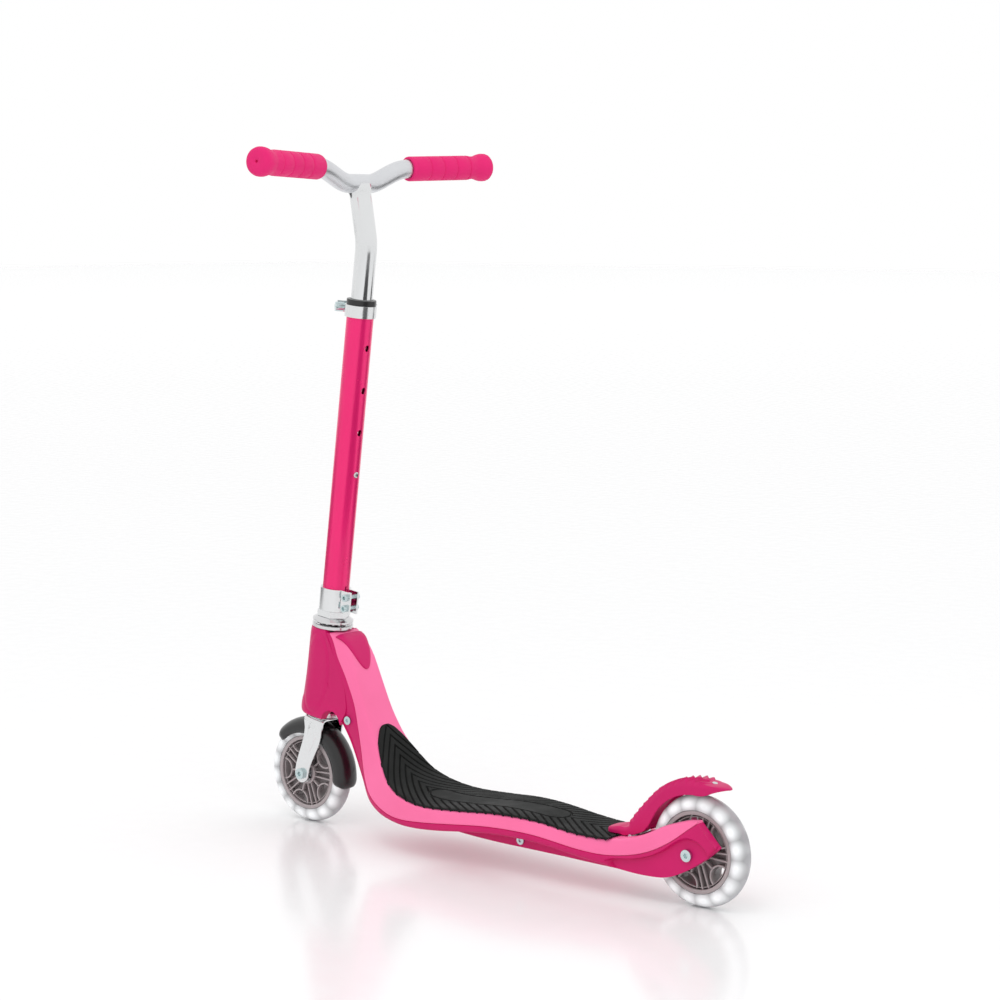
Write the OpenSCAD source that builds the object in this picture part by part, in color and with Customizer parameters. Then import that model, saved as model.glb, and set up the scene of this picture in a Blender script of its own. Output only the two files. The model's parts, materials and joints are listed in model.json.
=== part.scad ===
// Two-wheeled kick scooter for a child: welded steel spine in a plastic body,
// telescopic T-bar on a clamped column, light-up wheels and a fender brake.
// +X is forward, +Y is the rider's left, +Z is up. The origin lies on the ground, midway between the wheels.

/* [Wheels] */
// Outer diameter of both tyres
wheel_d = 121; // [110:1:146]
// Width of both tyres
wheel_w = 24; // [20:1:29]
// Distance between the two axles
wheelbase = 576; // [480:1:700]
// Radial height of the clear tyre
tyre_h = 16; // [12:0.5:18]

/* [Steering] */
// Backward lean of the steering axis, in degrees
head_tilt = 7.5; // [5:0.5:12]
// Distance of the front axle ahead of the steering axis
fork_offset = 12; // [5:0.5:18]
// Length of the steel head tube
head_len = 101; // [80:1:116]
// Outer diameter of the steerer tube
steerer_d = 28.6; // [25.4:0.1:30]
// Thickness of the stamped fork
fork_wall = 3; // [2.5:0.5:4]

/* [Column and T-bar] */
// Outer diameter of the column tube
column_d = 31.8; // [31.8:0.1:36]
// Length of the column tube
column_len = 365; // [330:1:440]
// Outer diameter of the chromed stem
stem_d = 25.4; // [24:0.1:26]
// Distance between two height holes
hole_pitch = 50; // [40:1:52]
// Diameter of the height holes
hole_d = 7.6; // [6.5:0.1:9]
// Height of the handlebar centre above the column's top
bar_rise = 138; // [120:1:170]
// Outer diameter of the handlebar
bar_d = 22; // [19:0.5:25]
// Whole width across the grips
bar_w = 390; // [330:1:460]
// Length of one grip
grip_len = 119; // [105:1:140]
// Outer diameter of the grip body
grip_d = 29; // [27:0.5:34]

/* [Deck] */
// Greatest width of the deck
deck_w = 116; // [100:1:140]
// Width across the rear arms
arm_w = 60; // [56:1:72]
// Width across the neck
neck_w = 50; // [48:1:60]
// Thickness of the plastic covers
wall = 3; // [2:0.5:4]
// Thickness of the tread mat
mat_h = 3; // [2:0.5:5]

/* [Hidden] */
$fn = 64;
round_fn = 96;

// Clearances: running fit on a radius, and the space left between separate moulded or rubber parts
fit = 0.05;
gap = 0.3;

// Places
wheel_r = wheel_d / 2;
rear_x = -wheelbase / 2;
front_x = wheelbase / 2;
axis_x = front_x - fork_offset * cos(head_tilt);
axis_z = wheel_r - fork_offset * sin(head_tilt);
neck_gap = 47;
neck_x = front_x - wheel_r - neck_gap;

// Stack along the steering axis, measured up from the point nearest the front axle
guard_gap = 4.5;
guard_wall = 2;
crown_s = wheel_r + guard_gap + guard_wall + 4;
race_s = crown_s + fork_wall;
race_h = 4;
head_s = race_s + race_h + 5;
spine_s = head_s + 9;
head_top_s = head_s + head_len;
cone_s = head_top_s + 8;
cone_h = 6;
nut_s = cone_s + cone_h;
nut_h = 8;
column_s = nut_s + nut_h;
column_top_s = column_s + column_len;
clamp_low_h = 27;
clamp_top_h = 14;
steerer_top_s = column_s + 31;
flange_h = 6.5;

// Tubes
column_r = column_d / 2;
steerer_r = steerer_d / 2;
column_in_r = steerer_r + fit;
stem_r = stem_d / 2;
stem_wall = 2;
steerer_wall = 2.6;
head_r = 20;
head_wall = 2.5;
cup_r = 24.2;
shell_r = head_r + wall + 2.6;

// Height holes, counted up from the lowest one, which the button fills at rest
low_hole_s = column_top_s - 199;
bar_s = column_top_s + bar_rise;
stem_low_s = low_hole_s - 60;
bend_s = column_top_s + 61;
bend_r = 70;
bend_a = 17;

// Axles and bearings
axle_r = 4;
bearing_w = 7;
bearing_r = 11;
race_wall = 2;
ball_r = 1.9;
drop_y = wheel_w / 2 + 2;
drop_h = 4;
arm_y = drop_y + drop_h;
leg_y = wheel_w / 2 + 4;

// Fender and its pivot
fender_gap = 5;
fender_h = 11;
fender_w = 30;
liner_h = 2;
pin_dx = wheel_r + 21.5;
pin_dz = 4.5;
pin_r = 2.5;

// Quick-release clamp on top of the column
clamp_yaw = -35;
clamp_band = 2.6;
ear_reach = 26;
ear_gap = 5;
ear_h = 3;
skewer_r = 2.5;

// ---------- helpers ----------

// A point near the rear axle, near the foot of the neck, part-way along the deck, and by the steering axis
function rear_pt(dx, dz) = [rear_x + dx, wheel_r + dz];
function neck_pt(dx, dz) = [neck_x + dx, wheel_r + dz];
function deck_pt(t, dz) = [rear_x + t * (neck_x - rear_x), wheel_r + dz];
function head_pt(u, s) = [axis_x + u * cos(head_tilt) - s * sin(head_tilt),
    axis_z + u * sin(head_tilt) + s * cos(head_tilt)];

// Smooth curve through points
function spline_at(a, b, c, d, t) = 0.5 * ((2 * b) + (c - a) * t
    + (2 * a - 5 * b + 4 * c - d) * t * t + (3 * b - a - 3 * c + d) * t * t * t);
function smooth(p, n = 4) = let (e = len(p) - 1) [for (i = [0 : e - 1], k = [0 : n - 1])
    spline_at(p[max(i - 1, 0)], p[i], p[i + 1], p[min(i + 2, e)], k / n), p[e]];
function flip(p) = [for (i = [len(p) - 1 : -1 : 0]) p[i]];
function ahead(p, x) = [for (q = p) if (q[0] > x) q];

// The same line moved sideways, to its left when the distance is positive
function unit(v) = v / norm(v);
function shifted(p, d) = [for (i = [0 : len(p) - 1])
    let (t = unit(p[min(i + 1, len(p) - 1)] - p[max(i - 1, 0)])) p[i] + d * [-t[1], t[0]]];

// A side outline extruded across the scooter, and a plan outline extruded upwards
module across(w) { rotate([90, 0, 0]) linear_extrude(w, center = true) children(); }
module upwards(h) { linear_extrude(h) children(); }

// Children placed on the steering axis at height s, with +X ahead of the axis
module on_axis(s) { translate([axis_x, 0, axis_z]) rotate([0, -head_tilt, 0]) translate([0, 0, s]) children(); }
module tube(r, r_in, h) {
    difference() {
        cylinder(h = h, r = r, $fn = round_fn);
        translate([0, 0, -1]) cylinder(h = h + 2, r = r_in, $fn = round_fn);
    }
}
// A cylinder or a tube lying across the scooter between two values of Y
module y_rod(r, y0, y1) { translate([0, y1, 0]) rotate([90, 0, 0]) cylinder(h = y1 - y0, r = r, $fn = round_fn); }
module y_tube(r, r_in, y0, y1) { translate([0, y1, 0]) rotate([90, 0, 0]) tube(r, r_in, y1 - y0); }
module y_hex(across_flats, y0, y1) {
    translate([0, y1, 0]) rotate([90, 0, 0]) cylinder(h = y1 - y0, d = across_flats / cos(30), $fn = 6);
}
module both_sides() { children(); mirror([0, 1, 0]) children(); }
module at_rear() { translate([rear_x, 0, wheel_r]) children(); }
module at_front() { on_axis(0) translate([fork_offset, 0, 0]) rotate([0, head_tilt, 0]) children(); }

// A round rod swept along a path of points that turns about the direction given by side
sweep_n = 24;
function ring(p, dir, r, side) = let (n = unit(cross(dir, side)), b = cross(dir, n))
    [for (k = [0 : sweep_n - 1]) p + r * (cos(k * 360 / sweep_n) * n + sin(k * 360 / sweep_n) * b)];
module sweep(path, r, side) {
    last = len(path) - 1;
    rings = [for (i = [0 : last]) each ring(path[i],
        unit(path[min(i + 1, last)] - path[max(i - 1, 0)]), r, side)];
    polyhedron(rings, concat([[for (k = [0 : sweep_n - 1]) k]],
        [for (i = [0 : last - 1], k = [0 : sweep_n - 1]) let (a = i * sweep_n, j = (k + 1) % sweep_n)
            [a + k, a + sweep_n + k, a + sweep_n + j, a + j]],
        [[for (k = [sweep_n - 1 : -1 : 0]) last * sweep_n + k]]));
}

// ---------- body outlines, seen from the side, all running forwards ----------

top_line = smooth([rear_pt(-13, 38.5), rear_pt(1, 36.5), rear_pt(16, 31.5), rear_pt(34, 25),
    rear_pt(50, 16.5), rear_pt(70, 7.5), rear_pt(100, 1.5), rear_pt(135, 1.5), deck_pt(0.41, 6.5),
    deck_pt(0.48, 8), deck_pt(0.556, 7.3), deck_pt(0.641, 4), deck_pt(0.737, 1.5), neck_pt(-93, 4),
    neck_pt(-68, 10.5), neck_pt(-50, 21.5), neck_pt(-36, 37.5), neck_pt(-22, 57),
    head_pt(-97, race_s + 15), head_pt(-87, race_s + 29), head_pt(-69.5, race_s + 58),
    head_pt(-52, head_top_s - 19), head_pt(-38, head_top_s + 3)]);
split_line = smooth([rear_pt(-13, 37), rear_pt(1, 25.5), rear_pt(20, 11.5), rear_pt(40, -0.5),
    rear_pt(60, -8.5), rear_pt(84, -14.5), rear_pt(109, -16), rear_pt(129, -14.5), deck_pt(0.327, -12.5),
    deck_pt(0.385, -9), deck_pt(0.44, -7), deck_pt(0.504, -6.5), deck_pt(0.568, -7.5), deck_pt(0.662, -12),
    deck_pt(0.724, -15), neck_pt(-107, -16.5), neck_pt(-81, -18), neck_pt(-51, -12.5), neck_pt(-21, 2.5),
    neck_pt(-5, 32), neck_pt(3, 57), head_pt(-77, spine_s + 1), head_pt(-68, spine_s + 23),
    head_pt(-49, spine_s + 47), head_pt(-32, head_top_s - 23), head_pt(-17, head_top_s + 3)]);
belly_line = smooth([rear_pt(-38, 12.5), rear_pt(-18, -4.5), rear_pt(20, -27.5), rear_pt(59, -31),
    rear_pt(97, -32.5), deck_pt(0.29, -33.5), deck_pt(0.4, -33.5), deck_pt(0.52, -33.5), deck_pt(0.618, -33.5),
    deck_pt(0.735, -30), neck_pt(-81, -25.5), neck_pt(-48, -19.5), neck_pt(-26, -11), neck_pt(-12, 0.5),
    neck_pt(3, 26.5), neck_pt(14, 45.5), neck_pt(21, 60.5), neck_pt(32, 74.5)]);

// Half widths in plan, from the rear to the head
deck_edge = smooth([[rear_x - 45, arm_w / 2 - 1], [rear_x + 40, arm_w / 2], [rear_x + 100, arm_w / 2 + 7],
    [rear_x + 170, deck_w / 2 - 15], deck_pt(0.45, 0) + [0, deck_w / 2 - 11 - wheel_r],
    deck_pt(0.62, 0) + [0, deck_w / 2 - 3 - wheel_r], deck_pt(0.75, 0) + [0, deck_w / 2 - wheel_r],
    [neck_x - 80, deck_w / 2 - 4], [neck_x - 50, deck_w / 2 - 14], [neck_x - 25, neck_w / 2 + 8],
    [neck_x, neck_w / 2 + 2], [neck_x + 25, neck_w / 2], [axis_x + 10, neck_w / 2]]);
belly_edge = smooth([[rear_x - 45, arm_w / 2 - 1], [rear_x + 40, arm_w / 2], [rear_x + 100, arm_w / 2],
    [rear_x + 150, 24], [rear_x + 200, 22], deck_pt(0.6, 0) + [0, 22 - wheel_r],
    [neck_x - 130, 24], [neck_x - 95, deck_w / 2 - 14], [neck_x - 70, deck_w / 2 - 7],
    [neck_x - 50, deck_w / 2 - 14], [neck_x - 25, neck_w / 2 + 8],
    [neck_x, neck_w / 2 + 2], [neck_x + 25, neck_w / 2], [axis_x + 10, neck_w / 2]]);

body_h = 320;
module plan(edge, inset = 0) {
    inner = [for (p = edge) [p[0], p[1] - inset]];
    upwards(body_h) polygon(concat(inner, flip([for (p = inner) [p[0], -p[1]]])));
}
// Everything between two side lines, as wide as a plan outline
module body_between(low, high, edge, inset = 0) {
    intersection() {
        across(2 * deck_w) polygon(concat(low, flip(high)));
        plan(edge, inset);
    }
}
// Space taken by the rear wheel, the fender and the axle parts between the arms
module wheel_slot(half_w) {
    translate([rear_x - 80, -half_w, 0]) cube([80 + pin_dx + 10, 2 * half_w, body_h]);
}
// Where the head shell ends and the lower shell begins
module head_side() {
    on_axis(spine_s) translate([-70, -100, -16]) rotate([0, 30, 0]) translate([-60, 0, 0]) cube([200, 200, 200]);
}

// ---------- frame ----------

spine_w = 28;
spine_wall = 2;
spine_rear = rear_x + pin_dx + 12;

module spine_block(inset) {
    intersection() {
        across(spine_w - 2 * inset)
            polygon(concat(shifted(belly_line, 7 + inset), [head_pt(0, spine_s + inset), head_pt(0, head_top_s - 8 - inset)],
                flip(shifted(top_line, -8 - inset))));
        translate([spine_rear + inset, -50, 0]) cube([axis_x - spine_rear - inset, 100, body_h]);
    }
}
// Bent box section from the rear arms to the head tube
module spine_tube() {
    color("dimgray") difference() {
        spine_block(0);
        spine_block(spine_wall);
        on_axis(0) cylinder(h = body_h, r = head_r + fit, $fn = round_fn);
        on_axis(head_top_s - 4) cylinder(h = 60, r = 90);
        bolt_holes(shell_bolt_r + fit);
    }
}
module head_tube() {
    color("dimgray") on_axis(head_s) tube(head_r, head_r - head_wall, head_len);
}
drop_front = spine_rear + 45;
module rear_dropouts() {
    color("silver") both_sides() difference() {
        translate([0, arm_y, 0]) rotate([90, 0, 0]) linear_extrude(drop_h) {
            translate([rear_x, wheel_r]) circle(r = 11);
            polygon([rear_pt(-3, 10), rear_pt(pin_dx - 8, -9), [drop_front, wheel_r - 14],
                [drop_front, wheel_r - 24], rear_pt(pin_dx, -24), rear_pt(-5, -9)]);
        }
        at_rear() y_rod(axle_r + fit, 0, 40);
        translate([rear_x + pin_dx, 0, wheel_r - 12]) y_rod(3, 0, 40);
    }
}

// Cross bolts that hold the shells: one through the neck, one through the belly
neck_bolt = head_pt(-62, spine_s - 4);
belly_bolt = deck_pt(0.49, -23);
shell_bolt_r = 2.95;
module at_point(p) { translate([p[0], 0, p[1]]) children(); }
bolt_seats = [[neck_bolt, neck_w / 2], [belly_bolt, 22]];
// Through holes with a flat seat for the head and the nut
module bolt_holes(r) {
    for (p = bolt_seats) at_point(p[0]) {
        y_rod(r, -80, 80);
        both_sides() y_rod(5.4, p[1], 80);
    }
}
module shell_bolts() {
    color("lightsteelblue") for (p = bolt_seats) at_point(p[0]) {
        y_rod(shell_bolt_r, -p[1], p[1]);
        difference() {
            y_rod(5, p[1], p[1] + 2.5);
            y_hex(4, p[1] + 1, p[1] + 3);
        }
        mirror([0, 1, 0]) y_hex(9, p[1], p[1] + 3);
    }
}

// ---------- plastic body ----------

skirt_h = 8;
lower_skirt = shifted(split_line, -skirt_h);
module arm_pocket() {
    at_rear() both_sides() {
        y_rod(17, arm_w / 2 - 4, 60);
        translate([0, arm_w / 2 - 4, -17]) cube([70, 30, 17]);
    }
}
// Magenta underside: deck skirt, belly rib, neck sides and the two rear arms
module lower_shell() {
    color("mediumvioletred") difference() {
        union() {
            body_between(belly_line, split_line, belly_edge);
            intersection() {
                body_between(lower_skirt, split_line, deck_edge);
                translate([rear_x + 90, -100, 0]) cube([neck_x - rear_x - 130, 200, body_h]);
            }
        }
        // hollow inside, open upwards
        intersection() {
            body_between(shifted(belly_line, wall), shifted(split_line, 1), belly_edge, wall);
            translate([spine_rear - 3, -100, 0]) cube([600, 200, body_h]);
        }
        intersection() {
            body_between(shifted(lower_skirt, wall), shifted(split_line, 1), deck_edge, wall);
            translate([rear_x + 100, -100, 0]) cube([neck_x - rear_x - 145, 200, body_h]);
        }
        wheel_slot(arm_y);
        translate([rear_x + pin_dx, -arm_y - fit, 0])
            cube([drop_front - rear_x - pin_dx + 2, 2 * (arm_y + fit), wheel_r - 4]);
        translate([rear_x + pin_dx, -arm_y, wheel_r - 4]) cube([30, 2 * arm_y, 60]);
        arm_pocket();
        at_rear() y_rod(axle_r + fit, -80, 80);
        bolt_holes(shell_bolt_r + fit);
        head_side();
        on_axis(0) cylinder(h = body_h, r = shell_r + 6, $fn = round_fn);
    }
}
// Pink cover: rolled rim around the mat, back of the neck and the strips over the arms
module top_cover() {
    color("hotpink") difference() {
        body_between(split_line, top_line, deck_edge);
        body_between(ahead(shifted(split_line, -1), spine_rear - 12),
            ahead(shifted(top_line, -wall), spine_rear - 12), deck_edge, wall);
        wheel_slot(arm_y);
        translate([rear_x + pin_dx - 1, -arm_y, 0]) cube([20, 2 * arm_y, wheel_r - 8]);
        mat_space(0);
        cap_space(gap);
        on_axis(0) cylinder(h = body_h, r = shell_r + gap, $fn = round_fn);
    }
}
// Magenta shroud around the head tube, with wings back along the neck
shroud_low_s = crown_s + 7;
cheek_low = concat(belly_line, [head_pt(-12, shroud_low_s + 4), head_pt(6, shroud_low_s + 4)]);
module head_shell() {
    color("mediumvioletred") difference() {
        union() {
            on_axis(0) rotate_extrude($fn = round_fn) polygon([[0, shroud_low_s], [28, shroud_low_s],
                [30, shroud_low_s + 8], [shell_r + 1, shroud_low_s + 24], [shell_r, shroud_low_s + 60],
                [shell_r, head_top_s + 1], [0, head_top_s + 1]]);
            intersection() {
                body_between(cheek_low, concat(split_line, [head_pt(6, head_top_s - 3)]), deck_edge);
                head_side();
            }
        }
        // room for the head tube, the cups and the spine
        on_axis(0) cylinder(h = head_s + 3, r = cup_r + 0.6, $fn = round_fn);
        on_axis(head_s - 2) cylinder(h = head_len + 10, r = head_r + gap, $fn = round_fn);
        on_axis(head_top_s - 1) cylinder(h = 10, r = 21 + gap, $fn = round_fn);
        on_axis(head_top_s + 1) cylinder(h = 10, r = cup_r + gap, $fn = round_fn);
        across(spine_w + 2 * gap) polygon(concat(shifted(belly_line, 7 - gap),
            [head_pt(0, spine_s - gap), head_pt(0, head_top_s - 8 + gap)], flip(shifted(top_line, 5))));
        bolt_holes(shell_bolt_r + fit);
        // arch at the bottom edge, ahead of the side bolt
        on_axis(shroud_low_s - 1) translate([-33, 0, 0]) y_rod(17, -60, 60);
    }
}
// Dark saddle between the pink cover and the headset
module cap_space(grow) {
    on_axis(head_top_s - 46 - grow) translate([-70, -13 - grow, 0]) cube([70, 2 * (13 + grow), 90]);
}
module neck_cap() {
    color("darkmagenta") difference() {
        intersection() {
            across(60) polygon(concat(shifted(top_line, -wall), flip(shifted(top_line, 1))));
            cap_space(0);
        }
        on_axis(0) cylinder(h = body_h, r = shell_r + gap, $fn = round_fn);
        on_axis(head_top_s + 1) translate([-100, -50, 0]) cube([150, 100, 60]);
    }
}

// ---------- tread mat ----------

mat_edge = [for (p = deck_edge) [p[0], p[1] - 7]];
mat_front = neck_x - 12;
mat_rear = rear_x + pin_dx + 22;
module mat_space(grow) {
    intersection() {
        across(2 * deck_w) polygon(concat(shifted(top_line, grow - mat_h), flip(shifted(top_line, 10))));
        plan(mat_edge);
        translate([mat_rear, -100, 0]) cube([mat_front - mat_rear, 200, wheel_r + 75]);
    }
}
groove_w = 2.2;
groove_pitch = 12;
module tread_mat() {
    color("#222222") difference() {
        intersection() {
            mat_space(fit);
            across(2 * deck_w) polygon(concat(shifted(top_line, fit - mat_h), flip(top_line)));
        }
        // chevron grooves, clear of the long raised pad in the middle
        intersection() {
            across(2 * deck_w) polygon(concat(shifted(top_line, -1), flip(shifted(top_line, 10))));
            difference() {
                for (x = [mat_rear - 40 : groove_pitch : mat_front - 35], m = [0, 1])
                    mirror([0, m, 0]) translate([x + 40, 0, 0]) rotate([0, 0, 145])
                        cube([100, groove_w, body_h]);
                pad_space();
            }
        }
    }
}
module pad_space() {
    x0 = deck_pt(0.4, 0)[0];
    x1 = neck_x - 92;
    for (x = [x0, x1]) translate([x, 0, 0]) cylinder(h = body_h, r = 14);
    translate([x0, -14, 0]) cube([x1 - x0, 28, body_h]);
}

// ---------- headset ----------

module lower_cup() {
    color("silver") on_axis(0) difference() {
        rotate_extrude($fn = round_fn) polygon([[steerer_r + 1.2, head_s + 6], [steerer_r + 1.2, head_s - 1],
            [18.2, head_s - 1], [21.5, race_s + 2.6], [cup_r - 1, race_s + 2.6], [cup_r, head_s - 2],
            [cup_r, head_s], [head_r - head_wall, head_s], [head_r - head_wall, head_s + 6]]);
    }
}
module upper_cup() {
    color("silver") on_axis(0) rotate_extrude($fn = round_fn) polygon([[steerer_r + 1.2, head_top_s - 6],
        [head_r - head_wall, head_top_s - 6], [head_r - head_wall, head_top_s], [21, head_top_s],
        [21, head_top_s + 1.2], [cup_r, head_top_s + 1.2], [cup_r, head_top_s + 5], [21.6, head_top_s + 5],
        [18.2, head_top_s + 2], [steerer_r + 1.2, head_top_s + 2]]);
}
headset_ball_r = 1.6;
headset_track_r = 18.4;
module headset_balls() {
    color("gainsboro") on_axis(0) for (s = [race_s + 3.1, head_top_s + 6.4], i = [0 : 15])
        rotate(i * 22.5) translate([headset_track_r, 0, s]) sphere(r = headset_ball_r, $fn = 20);
}
module crown_race() {
    color("silver") on_axis(race_s) rotate_extrude($fn = round_fn)
        polygon([[steerer_r, 0], [20.5, 0], [20.5, 0.8], [17, 1], [15.8, race_h], [steerer_r, race_h]]);
}
module adjusting_cone() {
    color("silver") on_axis(0) rotate_extrude($fn = round_fn) polygon([[steerer_r, head_top_s + 3.5],
        [15.6, head_top_s + 3.5], [16.4, cone_s + 0.2], [cup_r, cone_s + 0.2], [cup_r, cone_s + 2.5],
        [19, cone_s + cone_h], [steerer_r, cone_s + cone_h]]);
}
module lock_nut() {
    color("gainsboro") on_axis(nut_s) difference() {
        cylinder(h = nut_h, d = 36 / cos(30) * 0.97, $fn = 6);
        translate([0, 0, -1]) cylinder(h = nut_h + 2, r = steerer_r, $fn = round_fn);
    }
}

// ---------- wheels ----------

core_r = wheel_r - tyre_h;
rim_wall = 2.4;
band_r = core_r - 5;
hub_r = bearing_r + 3;
rib = 2;
module wheel_tyre() {
    crown = 4;
    color([0.9, 0.95, 1, 0.6]) rotate([90, 0, 0]) rotate_extrude($fn = 128) polygon(concat(
        [[core_r, -wheel_w / 2 + 1], [core_r + 3, -wheel_w / 2]],
        [for (a = [-90 : 15 : 90]) [wheel_r - 9 + 9 * cos(a), (wheel_w / 2 - crown) * sin(a)
            + crown * sign(a) * pow(abs(sin(a)), 3)]],
        [[core_r + 3, wheel_w / 2], [core_r, wheel_w / 2 - 1]]));
}
module spoke(a, r0, r1) {
    rotate(a) translate([r0, -rib / 2]) square([r1 - r0, rib]);
}
module petal(a) {
    rotate(a) translate([band_r - 4, 0]) circle(r = 13);
}
module wheel_face() {
    difference() {
        circle(r = core_r - fit, $fn = round_fn);
        circle(r = band_r, $fn = round_fn);
    }
    intersection() {
        circle(r = band_r + 0.5, $fn = round_fn);
        for (i = [0 : 4]) {
            difference() {
                petal(i * 72);
                rotate(i * 72) translate([band_r - 4, 0]) circle(r = 13 - rib);
            }
            spoke(i * 72, hub_r - 1, band_r - 16);
            spoke(i * 72 + 36, hub_r - 1, band_r);
        }
    }
    circle(r = hub_r, $fn = round_fn);
}
led_count = 6;
led_depth = 4;
module led_pockets(floor_r, w) {
    for (i = [0 : led_count - 1]) rotate(i * 360 / led_count + 12)
        translate([floor_r, -w / 2, -20]) cube([led_depth + 2, w, 40]);
}
module wheel_core() {
    color("dimgray") rotate([90, 0, 0]) difference() {
        linear_extrude(wheel_w - 2, center = true) wheel_face();
        cylinder(h = 60, r = bearing_r - 1.5, center = true, $fn = round_fn);
        for (z = [wheel_w / 2 - bearing_w, -wheel_w / 2]) translate([0, 0, z])
            cylinder(h = bearing_w, r = bearing_r, $fn = round_fn);
        intersection() {
            led_pockets(core_r - led_depth, 9);
            cube([200, 200, 10], center = true);
        }
    }
}
// Small light boards let into the rim under the clear tyre
module wheel_leds() {
    color("white") rotate([90, 0, 0]) intersection() {
        led_pockets(core_r - led_depth + fit, 8.6);
        cube([200, 200, 9.6], center = true);
        cylinder(h = 40, r = core_r - 2 * fit, center = true, $fn = round_fn);
    }
}
module bearing_ring(r, r_in) {
    for (y = [wheel_w / 2 - bearing_w, -wheel_w / 2]) difference() {
        y_tube(r, r_in, y, y + bearing_w);
        translate([0, y + bearing_w / 2, 0]) rotate([90, 0, 0]) rotate_extrude($fn = round_fn)
            translate([(bearing_r + axle_r) / 2, 0]) circle(r = ball_r + 0.1, $fn = 32);
    }
}
module bearing_balls() {
    color("gainsboro") for (y = [wheel_w / 2 - bearing_w, -wheel_w / 2], i = [0 : 6])
        translate([0, y + bearing_w / 2, 0]) rotate([0, i * 360 / 7, 0])
            translate([(bearing_r + axle_r) / 2, 0, 0]) sphere(r = ball_r, $fn = 20);
}
module outer_races() { color("silver") bearing_ring(bearing_r, bearing_r - race_wall); }
module inner_races() { color("silver") bearing_ring(axle_r + race_wall, axle_r + fit); }
// Magnets on the axle drive the lights as the coil in the hub turns round them
module magnet_sleeve() { color("dimgray") y_tube(8, axle_r + fit, -(wheel_w / 2 - bearing_w), wheel_w / 2 - bearing_w); }
module spacers(y1) { color("silver") both_sides() y_tube(6.5, axle_r + fit, wheel_w / 2, y1); }
// Cap screw with its head on the left, and the nut on the right
module axle_bolt(y_seat, y_end) {
    color("lightsteelblue") difference() {
        union() {
            y_rod(axle_r, -y_end, y_seat);
            y_rod(6.5, y_seat, y_seat + 4);
        }
        y_hex(5, y_seat + 1.5, y_seat + 5);
    }
}
module axle_nut(y_seat) {
    color("lightsteelblue") mirror([0, 1, 0]) difference() {
        y_hex(13, y_seat, y_seat + 6);
        y_rod(axle_r, y_seat - 1, y_seat + 4.5);
    }
}
arm_seat = arm_w / 2 - 4;
module rear_tyre() { at_rear() wheel_tyre(); }
module rear_core() { at_rear() wheel_core(); }
module rear_led_ring() { at_rear() wheel_leds(); }
module rear_bearing_outer() { at_rear() outer_races(); }
module rear_bearing_balls() { at_rear() bearing_balls(); }
module rear_bearing_inner() { at_rear() inner_races(); }
module rear_magnet_sleeve() { at_rear() magnet_sleeve(); }
module rear_spacers() { at_rear() spacers(drop_y); }
module rear_axle_bolt() { at_rear() axle_bolt(arm_seat, arm_seat + 4); }
module rear_axle_nut() { at_rear() axle_nut(arm_seat); }
module front_tyre() { at_front() wheel_tyre(); }
module front_core() { at_front() wheel_core(); }
module front_led_ring() { at_front() wheel_leds(); }
module front_bearing_outer() { at_front() outer_races(); }
module front_bearing_balls() { at_front() bearing_balls(); }
module front_bearing_inner() { at_front() inner_races(); }
module front_magnet_sleeve() { at_front() magnet_sleeve(); }
module front_spacers() { at_front() spacers(leg_y); }
module front_axle_bolt() { at_front() axle_bolt(leg_y + fork_wall, leg_y + fork_wall + 4); }
module front_axle_nut() { at_front() axle_nut(leg_y + fork_wall); }

// ---------- fender brake ----------

fender_in = wheel_r + fender_gap;
fender_out = fender_in + fender_h;
fender_from = 20;
fender_to = 118;
module at_pin() { at_rear() translate([pin_dx, 0, pin_dz]) children(); }
module arc_band(r0, r1, a0, a1, w) {
    across(w) polygon(concat([for (a = [a0 : 2 : a1]) r0 * [cos(a), sin(a)]],
        [for (a = [a1 : -2 : a0]) r1 * [cos(a), sin(a)]]));
}
// Ribbed brake shoe: arched over the tyre, hinged between the rear arms
module fender() {
    color("mediumvioletred") difference() {
        union() {
            at_rear() arc_band(fender_in, fender_out, fender_from, fender_to - 14, fender_w);
            at_rear() across(fender_w) polygon([fender_in * [cos(fender_to - 14), sin(fender_to - 14)],
                fender_out * [cos(fender_to - 14), sin(fender_to - 14)],
                (fender_out + 4) * [cos(fender_to), sin(fender_to)],
                (fender_out + 1) * [cos(fender_to), sin(fender_to)]]);
            for (a = [fender_from + 14 : 8 : fender_to - 22]) at_rear() rotate([0, -a, 0])
                translate([fender_out - 1, -fender_w / 2, -2.6]) cube([2.6, fender_w, 5.2]);
            at_pin() y_rod(6, -fender_w / 2, fender_w / 2);
            at_rear() across(fender_w) polygon([fender_out * [cos(26), sin(26)], [pin_dx + 1, pin_dz + 6],
                [pin_dx + 14, pin_dz + 4], [pin_dx + 14, pin_dz + 1], [pin_dx - 2, pin_dz - 5.6],
                (fender_in + 0.5) * [cos(fender_from), sin(fender_from)] - [0, 12]]);
        }
        at_pin() y_rod(pin_r + fit, -60, 60);
        at_pin() y_rod(7, -7, 7);
        at_rear() y_rod(fender_in, -60, 60);
        at_rear() rotate([0, -(fender_to - 16), 0]) translate([fender_out - 4, 0, 0]) rotate([0, 90, 0])
            cylinder(h = 12, r = 3 + fit);
    }
}
module brake_liner() {
    color("gray") at_rear() arc_band(fender_in - liner_h, fender_in - fit, 62, 98, wheel_w - 4);
}
module fender_rivet() {
    color("silver") at_rear() rotate([0, -(fender_to - 16), 0]) translate([fender_out - 4, 0, 0])
        rotate([0, 90, 0]) cylinder(h = 5, r = 3);
}
module fender_pin() {
    color("silver") at_pin() y_rod(pin_r, -arm_y, arm_y);
}
// Torsion spring on the pin, drawn as its closed coil and one leg
module fender_spring() {
    color("gray") at_pin() {
        y_tube(5.2, pin_r + 0.6, -6, 6);
        translate([4, -1, -8]) cube([1.2, 2, 8]);
    }
}

// ---------- fork and column ----------

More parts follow.
